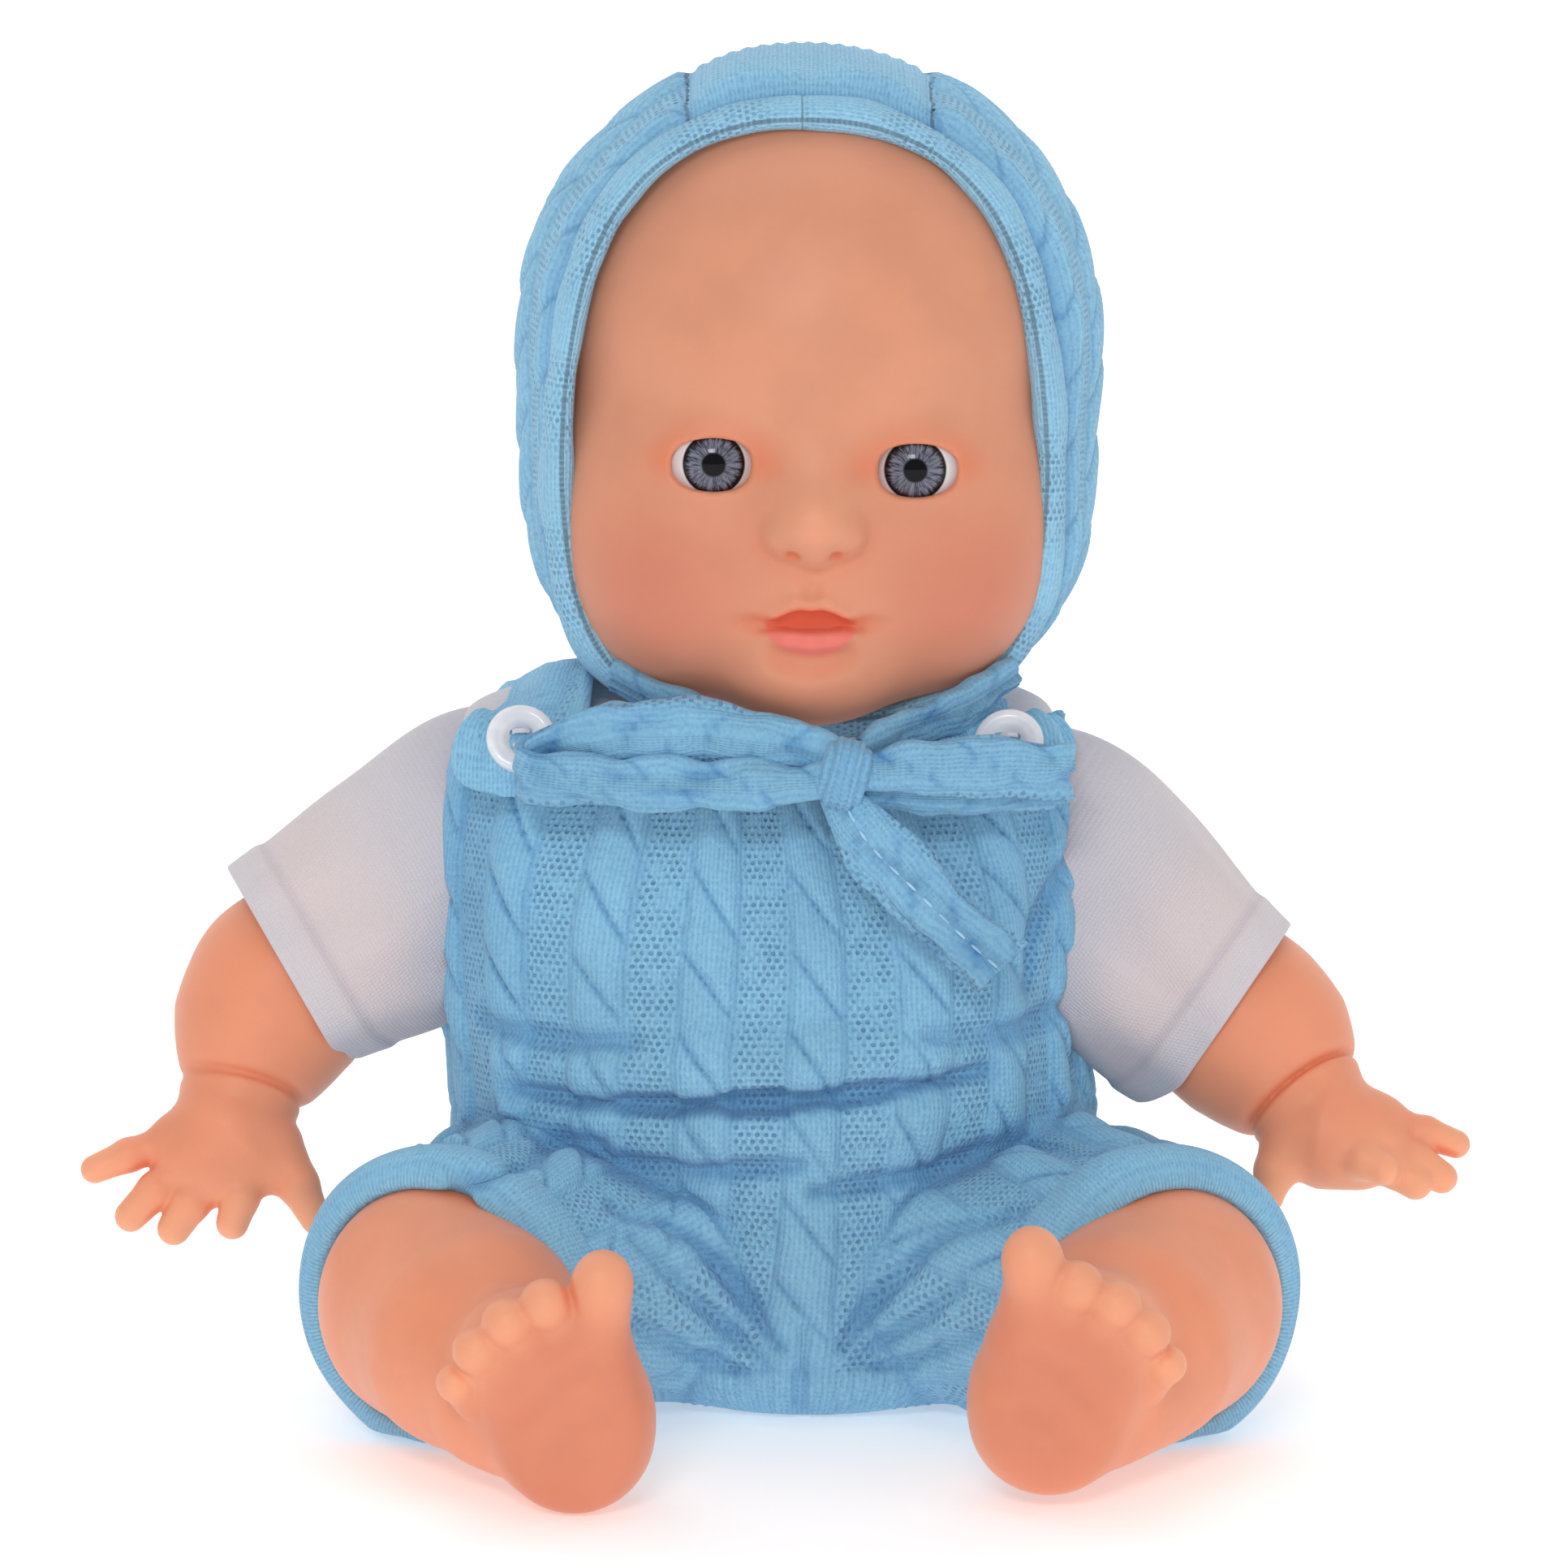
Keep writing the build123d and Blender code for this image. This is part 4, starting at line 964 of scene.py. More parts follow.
def torso_field(clay, grow=0.0):
    """The dressed torso: oval sections whose size changes with height."""
    fine = curve(TORSO, 200)
    order = np.argsort(fine[:, 0])
    z = np.clip(clay.z, TORSO[0, 0], TORSO[-1, 0])
    wide, front, back, mid, power = (np.interp(z, fine[order, 0], fine[order, k]) for k in range(1, 6))
    dx = np.abs(clay.x - mid)
    depth = np.where(clay.y < 0, front, back)
    k = ((dx / wide) ** power + (np.abs(clay.y) / depth) ** power) ** (1 / power)
    flat = np.sqrt((dx / wide**2) ** 2 + (clay.y / depth**2) ** 2) / np.maximum(k, 1e-4)
    d = (k - 1) / np.maximum(flat, 1e-4)
    lap = clay.blob((1.5, -22, 24), (17 + grow, 14 + grow, 21))
    d = melt(d, lap, 7)
    d = melt(d, clay.blob((1.5, -22.5, 9.5), (29 + grow, 14.5 + grow, 10.8)), 6)
    return np.maximum(d * 0.92 - grow, np.maximum(-1.0 - clay.z, clay.z - 104)).astype(np.float32)


def leg_frame(points, name):
    """Distance along the leg, height and sideways reach from its axis."""
    side = SIDES[name]
    axis = leg_axis(side)
    p = points - HIP[name]
    across = np.cross(axis, vec(0, 0, 1))
    return p @ axis, p[:, 2], p @ across


LEG_END = 52.4
CUFF = 8.6
LEG_HOLE = 17.0


def leg_field(clay, name):
    """A trouser leg: a tube along the thigh with its gusset from the crotch, rounded at the cuff."""
    side = SIDES[name]
    axis = leg_axis(side)
    root = HIP[name] + axis * 2
    tip = HIP[name] + axis * (LEG_END + 12)
    leg = clay.bone(root, tip, 21.2, 20.3)
    gusset = clay.bone(vec(side * 8.5, -15, 16.5), HIP[name] + axis * 44, 15.5, 19.6)
    leg = melt(leg, gusset, 4)
    along = (clay.x - root[0]) * axis[0] + (clay.y - root[1]) * axis[1]
    return carve(leg, LEG_END - 2 - along, 3.5)


def make_romper():
    clay = Clay((-82, -70, -4), (78, 34, 104), 0.62)
    torso = torso_field(clay)
    clay.add(torso, 0.1)
    legs = {name: leg_field(clay, name) for name in SIDES}
    clay.add(np.minimum(legs["left"], legs["right"]), 2.6)
    # folds where the belly meets the thighs and round the seat: places, how deep and how wide
    folds = [
        ([(-40, 47.2), (-30, 46.6), (-14, 46.8), (4, 47.8), (26, 50.4)], 1.9, 2.0),
        ([(-49, 38), (-38, 39.5), (-28, 40.8)], 1.1, 2.4),
        ([(2, 34.2), (16, 36.0), (29, 38.8), (42, 40.6)], 1.4, 2.2),
        ([(-30, 38.4), (-14, 37.2), (0, 38.2)], 0.8, 2.6),
        ([(-46, 56.5), (-36, 55), (-24, 55.5)], 0.4, 3.2),
        ([(40, 58), (30, 55.5), (18, 56)], 0.4, 3.2),
        ([(39, 80), (34, 70), (33, 62)], 0.6, 2.6),
        ([(-3, 12), (-9, 20), (-16, 27.5), (-27, 33)], 1.3, 2.0),
        ([(6, 12), (12, 20), (20, 28), (31, 33.5)], 1.3, 2.0),
        ([(-5, 9.5), (-12, 16), (-19, 24), (-24, 29)], 1.0, 1.8),
        ([(8, 9.5), (16, 16), (23, 23)], 1.0, 1.8),
        ([(-8, 7.8), (-15, 11), (-23, 17)], 0.9, 1.8),
        ([(11, 8.5), (18, 11.5), (25, 16)], 0.9, 1.8),
        ([(-26, 7.6), (-12, 8.2), (0, 8.6), (12, 9), (28, 8.6)], 0.3, 1.2),
        ([(0, 1), (0, 5), (0.4, 9), (0.6, 14)], 0.5, 2.0),
    ]
    lines = []
    for line, thick, soft in folds:
        line = curve(line, 14)
        taper = np.sin(np.linspace(0.25, 2.9, 14)) * thick
        deep = np.array([vec(x, clay.skin(x, z) + 0.35 * thick, z) for x, z in line])
        middle = (deep.min(0) + deep.max(0)) / 2
        near = clay.window(middle, float(np.ptp(deep, axis=0).max()) / 2 + 6)
        if thick > 1.5:
            near.add(near.chain(deep + vec(0, 2.0, 4.6), taper * 1.9, 1.5), 4)
            near.add(near.chain(deep + vec(0, 2.4, -4.8), taper * 1.7, 1.5), 4)
        near.cut(near.chain(deep, taper, 0.6), soft)
        lines.append((deep, thick))
    clay.trim(-0.15 - clay.z)
    whole = clay.d.copy()
    run = {}
    for name, side in SIDES.items():
        axis = leg_axis(side)
        run[name] = (clay.x - HIP[name][0]) * axis[0] + (clay.y - HIP[name][1]) * axis[1]
    # the body, closed under the legs, with its neckline and armholes
    outer = np.maximum(whole, torso - 3.5)
    shell = np.maximum(outer, -(outer + 1.9))
    edge = step(19, 30, np.abs(clay.x + 6.0))
    shell = np.maximum(shell, clay.z - (90.5 + 8.6 * edge - 0.5 * np.exp(-(((clay.x + 6) / 12) ** 2))))
    armhole = (np.hypot((clay.y - 2.5) / 11.5, (clay.z - 83) / 20) - 1) * 11 + 0 * clay.x
    shell = carve(shell, np.maximum(armhole, 36 - np.abs(clay.x + 6)), 1.2)
    points, faces, marks = dress(clay, outer, shell, None, torso, legs, lines)
    body = make("romper_body", points, faces, KNIT, marks)
    place(body, "torso", "blue_knit", "romper_front_panel", "romper_back_panel", "crotch_placket")
    # the legs, open at both ends, whose tops lie inside the body
    for name, side in SIDES.items():
        axis = leg_axis(side)
        outer = np.maximum(whole, legs[name] - 3.5)
        wall = 1.9 + 3.4 * step(LEG_END - CUFF - 1, LEG_END - CUFF + 2, run[name])
        shell = np.maximum(outer, -(outer + wall))
        bore = clay.bone(HIP[name] + axis * 20, HIP[name] + axis * 90, LEG_HOLE, LEG_HOLE)
        shell = carve(shell, np.maximum(bore, LEG_END - 9 - run[name]), 1.6)
        shell = np.maximum(shell, 12 - run[name])
        shell = carve(shell, 2.2 + torso - legs[name], 0.8)
        points, faces, marks = dress(clay, outer, shell, name, torso, legs, lines)
        leg = make(f"romper_leg_{name}", points, faces, KNIT, marks)
        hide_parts(f"leg_cuff_{name}")
        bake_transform(leg)
        turn = np.linspace(0, 2 * math.pi, 72, endpoint=False)[:, None]
        wide = unit(np.cross(axis, vec(0, 0, 1)))
        ring = HIP[name] + axis * 27.4 + 15.4 * (np.cos(turn) * wide + np.sin(turn) * vec(0, 0, 1))
        points, faces, _, _ = sweep(
            ring, lambda q: oval(2.4, 1.1, 12, 4), lambda q: ring_up(q, wide), closed=True
        )
        tie = make(f"thigh_tie_{name}", points, faces, NYLON)
        place(tie, f"thigh_{name}", "nylon_tie", f"leg_tie_{name}")


def dress(clay, outer, shell, piece, torso, legs, lines):
    """The mesh of a shell of the romper with the knit's relief on it. Where another piece lies over
    this one, this one is sunk a little."""
    clay.d[...] = shell
    points, faces = clay.surface()
    clay.d[...] = outer
    normals = clay.slope(points, 1.0)
    skin = step(-1.1, -0.35, clay.at(points))
    crease = clay.hollow(points, normals, 4.0)
    clay.d[...] = torso
    torso_at = clay.at(points)
    x, y, z = points.T
    body_s, body_t = np.arctan2((x + 3) / 46, -y / 30) * 41, z
    s, t = body_s.copy(), body_t.copy()
    cuff, join, sunk = np.zeros((3, len(points)))
    own_s, own_t = body_s, body_t
    over = np.zeros(len(points), bool)
    for name, side in SIDES.items():
        along, up, across = leg_frame(points, name)
        clay.d[...] = legs[name]
        leg_at = clay.at(points)
        leg = (leg_at < torso_at) & (side * x > 0) & (along > 5)
        around = np.arctan2(across, up) * 20.5 + 3
        s, t = np.where(leg, around, s), np.where(leg, along, t)
        over |= leg
        roll = np.clip(1 - ((along - (LEG_END - CUFF / 2)) / (CUFF * 0.56)) ** 2, 0, 1)
        hem = step(LEG_END - CUFF - 0.5, LEG_END - CUFF + 0.5, along) * (0.45 + 0.55 * roll)
        cuff = np.where(leg, hem, cuff)
        join = np.maximum(join, np.exp(-(((leg_at - torso_at) / 1.3) ** 2)) * (side * x > -1))
        if piece is None:
            sunk = np.maximum(sunk, step(-0.3, 1.0, torso_at - leg_at) * (side * x > 0))
        elif piece == name:
            sunk = step(-0.3, 1.0, leg_at - torso_at)
            own_s, own_t = around, along
    wobble = 1.2 * np.sin(t / 19 + 1) + 0.8 * smooth_noise(points, 16, 21)
    height, fold_shade, lace = cable(s + wobble, t + 0.8 * smooth_noise(points, 11, 4), 1.75)
    drape = 0.5 * smooth_noise(points, 8.5, 11) + 0.9 * smooth_noise(points * vec(1, 1, 0.55), 19, 12)
    calm = np.clip(cuff * 3, 0, 1)
    facing = step(9.0, 7.8, z) * (y < -6) * ~over
    dark = np.zeros(len(points))
    flat = join.copy()
    for line, thick in lines:
        near = np.full(len(points), 99.0)
        box = (points > line.min(0) - 9).all(1) & (points < line.max(0) + 9).all(1)
        for spot in line:
            near[box] = np.minimum(near[box], np.linalg.norm(points[box] - spot, axis=1))
        flat = np.maximum(flat, 0.75 * np.exp(-((near / 3.2) ** 2)))
        # painted shade along each fold line
        dark = np.maximum(dark, 0.36 * min(thick, 1.6) * np.exp(-((near / (0.6 + 0.75 * thick)) ** 2)))
    rise = (height * (1 - flat) + drape * 0.6) * (1 - calm) * (1 - 0.8 * facing)
    rise += 1.9 * cuff + 0.3 * calm * smooth_noise(points, 7, 31)
    rise += facing * (0.2 + 0.3 * np.cos(x * 2 * math.pi / 1.7))
    rise = rise * step(0.2, 2.5, z) - 0.9 * sunk
    points = points + normals * (rise * skin)[:, None]
    points[:, 2] = np.maximum(points[:, 2], 0.0)
    # painted shade in the cable creases, in hollows and at the leg's join with the body
    fold_shade = 0.6 * fold_shade * (1 - calm) * (1 - facing) * (1 - flat) + 0.5 * step(0.10, 0.6, crease)
    fold_shade = np.maximum(np.clip(fold_shade, 0, 0.85), np.maximum(dark, 0.25 * join))
    # painted shade on the inside walls
    fold_shade = np.where(skin > 0.4, fold_shade, 0.5)
    lace = lace * (1 - calm) * (1 - facing) * (1 - join)
    return points, faces, knit_marks(own_s + wobble, own_t, lace, fold_shade)


def ring_up(t, wide):
    """The way out from the middle of an upright ring, a share t of the way round it."""
    return math.cos(2 * math.pi * t) * wide + math.sin(2 * math.pi * t) * vec(0, 0, 1)


def back_seam():
    """The rolled seam down the middle of the romper's back."""
    line = [(-6, 21.5, 90), (-6, 26.3, 72), (-5, 28.6, 50), (-3, 29.6, 30), (0, 28.5, 14), (0, 23, 3)]
    path = curve(line, 100)
    points, faces, s, t = sweep(path, lambda k: oval(3.6, 1.8, 18), lambda k: (0, 1, 0))
    marks = knit_marks(s, t, 0 * s, 0 * s + 0.15)
    place(make("romper_back_seam", points, faces, RIB, marks), "torso", "blue_knit")


# ------------------------------------------------------------------ straps and buttons


def make_straps():
    for name, side in SIDES.items():
        x = -6 + side * 33.5
        lean = side * 2.0
        drop = 1.2 if side < 0 else 2.8
        line = [
            (x + lean * 1.2, -26.6, 90.5),
            (x + lean, -26.0, 96),
            (x - lean * 0.8, -21.5, 101.2 - drop / 2),
            (x - lean * 1.6, -12, 104.8 - drop),
            (x - lean * 1.8, -2, 105.4 - drop),
            (x - lean * 1.2, 9, 103 - drop / 2),
            (x, 18, 96.5),
            (x + lean, 22.5, 88),
        ]
        path = curve(line, 110)

        def profile(t):
            end = min(t, 1 - t) * 110 / 9
            round_off = math.sqrt(max(0.02, 1 - max(0, 1 - end) ** 2))
            wide = (17.4 - 4.0 * step(0.14, 0.34, t)) * round_off
            shape = oval(wide, 2.8, 36, 2.6)
            edge = np.abs(shape[:, 0]) / max(wide / 2, 0.1)
            rolled = 0.55 * np.exp(-(((edge - 0.9) / 0.1) ** 2))
            shape[:, 1] += np.where(shape[:, 1] > 0, rolled, 0)
            return shape

        def up(t):
            middle = np.interp(t, np.linspace(0, 1, 110), path[:, 1])
            height = np.interp(t, np.linspace(0, 1, 110), path[:, 2])
            tilt = 0.42 * side * step(94, 102, height)
            return (tilt * (height - 82), middle + 3, height - 82)

        points, faces, _, t = sweep(path, profile, up)
        local = np.repeat(path[:, 0], 36)
        across = points[:, 0] - local
        middle = step(5.2, 4.4, np.abs(across)) * step(2.5, 5, t)
        height, fold_shade, lace = cable(across + 3.9, t, 0.5)
        normals = unit(points - np.repeat(path, 36, axis=0))
        rise = height * middle + 0.3 * smooth_noise(points, 5, 40 + side)
        points = points + normals * (rise * (normals[:, 2] > -0.6))[:, None]
        # painted shade in the cable creases
        marks = knit_marks(across, t, lace * middle, 0.4 * fold_shade)
        strap = make(f"strap_{name}", points, faces, KNIT, marks)
        place(strap, "torso", "blue_knit", f"romper_strap_{name}")
        out, height = (0.4, 98.6) if side < 0 else (1.6, 98.0)
        make_button(name, vec(x + lean * 0.4 + out, -26.4, height), vec(-0.1 * side, -0.88, 0.46))


def make_button(name, centre, normal):
    """A four-hole button with a rolled rim and a sunk middle, sewn on with thread."""
    clay = Clay((-6, -6, -2), (6, 6, 2.4), 0.16)
    r = np.sqrt(clay.x**2 + clay.y**2)
    disc = np.maximum(r - 4.9, np.abs(clay.z) - 0.95)
    clay.d[...] = disc
    clay.cut(r - 3.5 + np.abs(clay.z - 1.6) * 1.1, 0.5)
    clay.add(np.hypot(r - 4.1, clay.z - 0.35) - 0.8, 0.5)
    for a in (-1, 1):
        for b in (-1, 1):
            hole = np.hypot(clay.x - a * 1.05, clay.y - b * 1.05) - 0.5
            clay.cut(hole + 0 * clay.z, 0.15)
    points, faces = clay.surface()
    normal = unit(normal)
    side = unit(np.cross(vec(0, 0, 1), normal))
    turn = np.stack([side, np.cross(normal, side), normal])
    button = make(f"button_{name}", points @ turn + centre, faces, BUTTON)
    place(button, "torso", "white_button", f"strap_button_{name}")
    for k, (a, b) in enumerate(((-1, -1), (-1, 1))):
        ends = [vec(a, b, 0.0), vec(a, b, 0.75), vec(0, b * 1.0, 1.0), vec(-a, b, 0.75), vec(-a, b, 0.0)]
        path = curve([e * vec(1.05, 1.05, 1) @ turn + centre for e in ends], 24)
        points, faces, _, _ = sweep(path, lambda q: oval(0.75, 0.45, 10), lambda q: normal)
        place(make(f"button_thread_{name}_{k}", points, faces, WHITE_THREAD), "torso", "white_button")


# ------------------------------------------------------------------ shirt

ARM = {
    "left": {
        "root": vec(-50, 0, 79),
        "hem": vec(-73.5, -4, 64.8),
        "elbow": vec(-76.3, -6, 58.5),
        "wrist": vec(-82.0, -10.5, 44.5),
        "palm": vec(-83.5, -14, 38.6),
        "thumb": (vec(-76.6, -16.5, 36.5), vec(-73.2, -19.5, 32), vec(-70.6, -20.5, 27)),
        "fingers": (
            (vec(-80.2, -18.2, 33.5), vec(-82.6, -22.2, 26.8)),
            (vec(-85.6, -18.2, 33.2), vec(-91.2, -21.4, 25.8)),
            (vec(-89.6, -17.2, 34.6), vec(-97.6, -20.2, 27.4)),
            (vec(-92.2, -15.6, 37.4), vec(-103.0, -17.6, 33.8)),
        ),
    },
    "right": {
        "root": vec(38.6, 0, 75),
        "hem": vec(61.5, -4, 58.5),
        "elbow": vec(65, -6, 53.5),
        "wrist": vec(73.6, -10, 43.6),
        "palm": vec(77.6, -13.5, 39.0),
        "thumb": (vec(71.5, -16.5, 38), vec(69.3, -19.5, 34), vec(68.3, -20.8, 30.4)),
        "fingers": (
            (vec(78.5, -18.5, 36.5), vec(84.6, -23.6, 35.2)),
            (vec(82.5, -17.6, 36.0), vec(89.6, -21.6, 32.6)),
            (vec(85.0, -16.6, 37.5), vec(93.6, -19.6, 33.0)),
            (vec(86.0, -14.8, 40.0), vec(96.0, -16.0, 37.2)),
        ),
    },
}


def make_sleeves():
    for name, side in SIDES.items():
        arm = ARM[name]
        root, hem = arm["root"], arm["hem"]
        axis = unit(hem - root)
        inside = vec(-44, 4, 76) if side < 0 else vec(32.5, 4, 72)
        shoulder = root * 0.85 + inside * 0.15 + vec(0, 0, -1.5)
        path = curve([inside, shoulder, hem + axis * 3.5 - vec(0, 0, 1)], 52)
        rings = 64
        theta = np.linspace(0, 2 * math.pi, rings, endpoint=False)

        def profile(t):
            """The outer wall's outline; the inner wall follows it."""
            radius = 22.6 - 7.6 * t**0.9
            up_side = np.sin(theta)
            rear = np.cos(theta) * side
            droop = 3.2 * t * np.exp(-(((theta - math.pi * 1.5) / 0.9) ** 2))
            slack = 2.2 * t * np.clip(rear, 0, 1)
            wave = (0.9 * np.sin(3 * theta + 5 * t + side) + 0.6 * np.sin(5 * theta - 4 * t)) * (1 - 0.35 * t)
            wave = wave + 0.35 * np.sin(9 * theta + 7 * t) * step(0.2, 0.6, t)
            r = radius + droop + slack + wave + 0.6 * up_side * (1 - t)
            band = 0.5 * step(0.83, 0.86, t)
            depth = 0.6 + 0.36 * step(0.1, 0.7, t)
            return np.stack([np.cos(theta) * depth, np.sin(theta)], 1) * (r + band)[:, None]

        outer, faces, s, t = sweep(path, profile, lambda k: (0, 0, 1), ends=False)
        centre = np.repeat(path, rings, axis=0)
        low = np.clip(-0.6 * side * np.cos(theta) - 0.8 * np.sin(theta), 0, 1) ** 2
        pull = 10.5 * np.tile(low, len(path)) * (t / t.max()) ** 3
        outer = outer - axis * pull[:, None]
        centre = centre - axis * pull[:, None]
        inner = centre + (outer - centre) * (1 - 0.9 / np.linalg.norm(outer - centre, axis=1))[:, None]
        total = len(outer)
        faces = list(faces) + [tuple(i + total for i in f[::-1]) for f in faces]
        for j in range(rings):
            k = (j + 1) % rings
            faces.append((j, k, k + total, j + total))
            a = total - rings
            faces.append((a + k, a + j, a + j + total, a + k + total))
        points = np.vstack([outer, inner])
        ratio = np.concatenate([t, t]) / t.max()
        s = s.reshape(-1, rings)
        s = np.abs(s - s.max(axis=1, keepdims=True) / 2).ravel()
        s = np.concatenate([s, s])
        skinny = 0.45 * step(0.35, 0.7, ratio) * step(0.95, 0.8, ratio)
        # painted shade where the sleeve goes under the romper, along the band's groove, and on its underside
        fold_shade = 0.5 * step(0.35, 0.0, ratio) + 0.55 * np.exp(-(((ratio - 0.835) / 0.012) ** 2))
        fold_shade += 0.3 * step(-0.5, -1.0, (points - np.vstack([centre, centre]))[:, 2] / 16)
        marks = knit_marks(s, np.concatenate([t, t]), skinny, np.clip(fold_shade, 0, 1))
        outward(points, faces)
        sleeve = make(f"shirt_sleeve_{name}", points, faces, WHITE, marks, 1)
        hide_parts(f"sleeve_{name}")
        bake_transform(sleeve)


def make_shirt():
    """The shirt's yoke and collar, which show round the neck and shoulders."""
    clay = Clay((-56, -30, 70), (46, 30, 106), 0.7)
    body = torso_field(clay, -1.6)
    body = np.maximum(body, 74 - clay.z)
    clay.add(body.astype(np.float32), 0.3)
    clay.cut(clay.blob((-1, 2, 104), (17.5, 14.5, 9)), 2.0)
    ring = np.hypot(np.hypot((clay.x + 1) / 1.22, clay.y - 1) - 17.2, (clay.z - 99.5) * 0.8) - 2.3
    clay.add(ring, 1.8)
    points, faces = clay.surface()
    normals = clay.slope(points, 1.2)
    points = points + normals * (0.35 * smooth_noise(points, 6, 60))[:, None]
    x, y, z = points.T
    crease = clay.hollow(points, normals, 3)
    # painted shade in the creases
    marks = knit_marks(x + y, z, 0 * z, np.clip(0.8 * crease, 0, 0.8))
    shirt = make("shirt_yoke", points, faces, WHITE, marks)
    place(shirt, "torso", "white_jersey", "shirt_body", "shirt_collar")


# ------------------------------------------------------------------ limbs


def skin_marks(clay, points, normals, tips, reach=2.2):
    """Warm painted shade in the creases and lighter finger or toe tips."""
    crease = clay.hollow(points, normals, reach)
    pale = np.zeros(len(points))
    for tip, size in tips:
        pale = np.maximum(pale, np.exp(-((np.linalg.norm(points - tip, axis=1) / size) ** 2)))
    return {"blush_and_shade": np.clip(0.5 * step(0.15, 0.85, crease), 0, 0.5), "pale": pale}


def make_arms():
    for name, side in SIDES.items():
        arm = ARM[name]
        axis = unit(arm["hem"] - arm["root"])
        inner = arm["hem"] - axis * 9
        everything = [inner, arm["wrist"], arm["thumb"][2]] + [f[1] for f in arm["fingers"]]
        low, high = np.min(everything, 0) - 15, np.max(everything, 0) + 15
        clay = Clay(low, high, 0.4)
        bulge = arm["elbow"] * 0.55 + arm["wrist"] * 0.45 + vec(side * 0.6, 0.5, 0)
        line = [inner, arm["elbow"] + axis * -2.5, arm["elbow"], bulge, arm["wrist"]]
        clay.add(clay.chain(line, [11.2, 11.9, 11.9, 11.2, 8.2], 6), 0.1)
        down = unit(arm["palm"] - arm["wrist"])
        clay.cut(clay.bone(inner - axis * 20, inner - axis * 2, 30, 13), 1)
        # the pad of the hand, its fingers and thumb
        hand = Clay(low, high, 0.4)
        knuckles = [f[0] for f in arm["fingers"]]
        spread = (knuckles[0] + knuckles[3]) / 2
        hand.add(hand.bone(arm["wrist"] + down * 1.5, arm["palm"], 8.1, 8.2), 0.1)
        hand.add(hand.chain(knuckles, [3.6, 3.9, 3.7, 3.3], 3), 5)
        hand.add(hand.bone(arm["palm"] + vec(0, -1, 0), spread + vec(0, 0.8, 0), 7.2, 4.6), 4)
        for k, (base, tip) in enumerate(arm["fingers"]):
            radius = (2.75, 2.8, 2.7, 2.45)[k]
            middle = base * 0.45 + tip * 0.55 + vec(0, -0.6, 0.4)
            hand.add(hand.chain([base, middle, tip], [radius, radius, radius - 0.35], 0.8), 1.1)
        thumb = arm["thumb"]
        hand.add(hand.chain([thumb[0], thumb[1], thumb[2]], [4.2, 3.0, 2.25], 1), 3.0)
        clay.add(hand.d, 1.6)
        ring = arm["wrist"] + down * 0.6
        disc = (clay.x - ring[0]) * down[0] + (clay.y - ring[1]) * down[1] + (clay.z - ring[2]) * down[2]
        groove = np.abs(disc) - 0.25 + 0 * clay.d
        away = clay.bone(ring, ring + down * 0.1, 0.0, 0.0)
        clay.cut(np.maximum(np.maximum(groove, 9.2 - away), away - 11.5), 1.6)
        points, faces = clay.surface()
        normals = clay.slope(points, 0.6)
        tips = [(f[1], 5.2) for f in arm["fingers"]] + [(thumb[2], 5.5)]
        marks = skin_marks(clay, points, normals, tips)
        hem = (points - arm["hem"]) @ axis
        # warm painted shade where the arm goes into the sleeve
        marks["blush_and_shade"] = np.maximum(marks["blush_and_shade"], 0.7 * step(3.5, -1.5, hem))
        obj = make(f"arm_{name}", points, faces, LIMB, marks)
        place(obj, f"arm_{name}", "vinyl_skin", f"vinyl_arm_{name}")


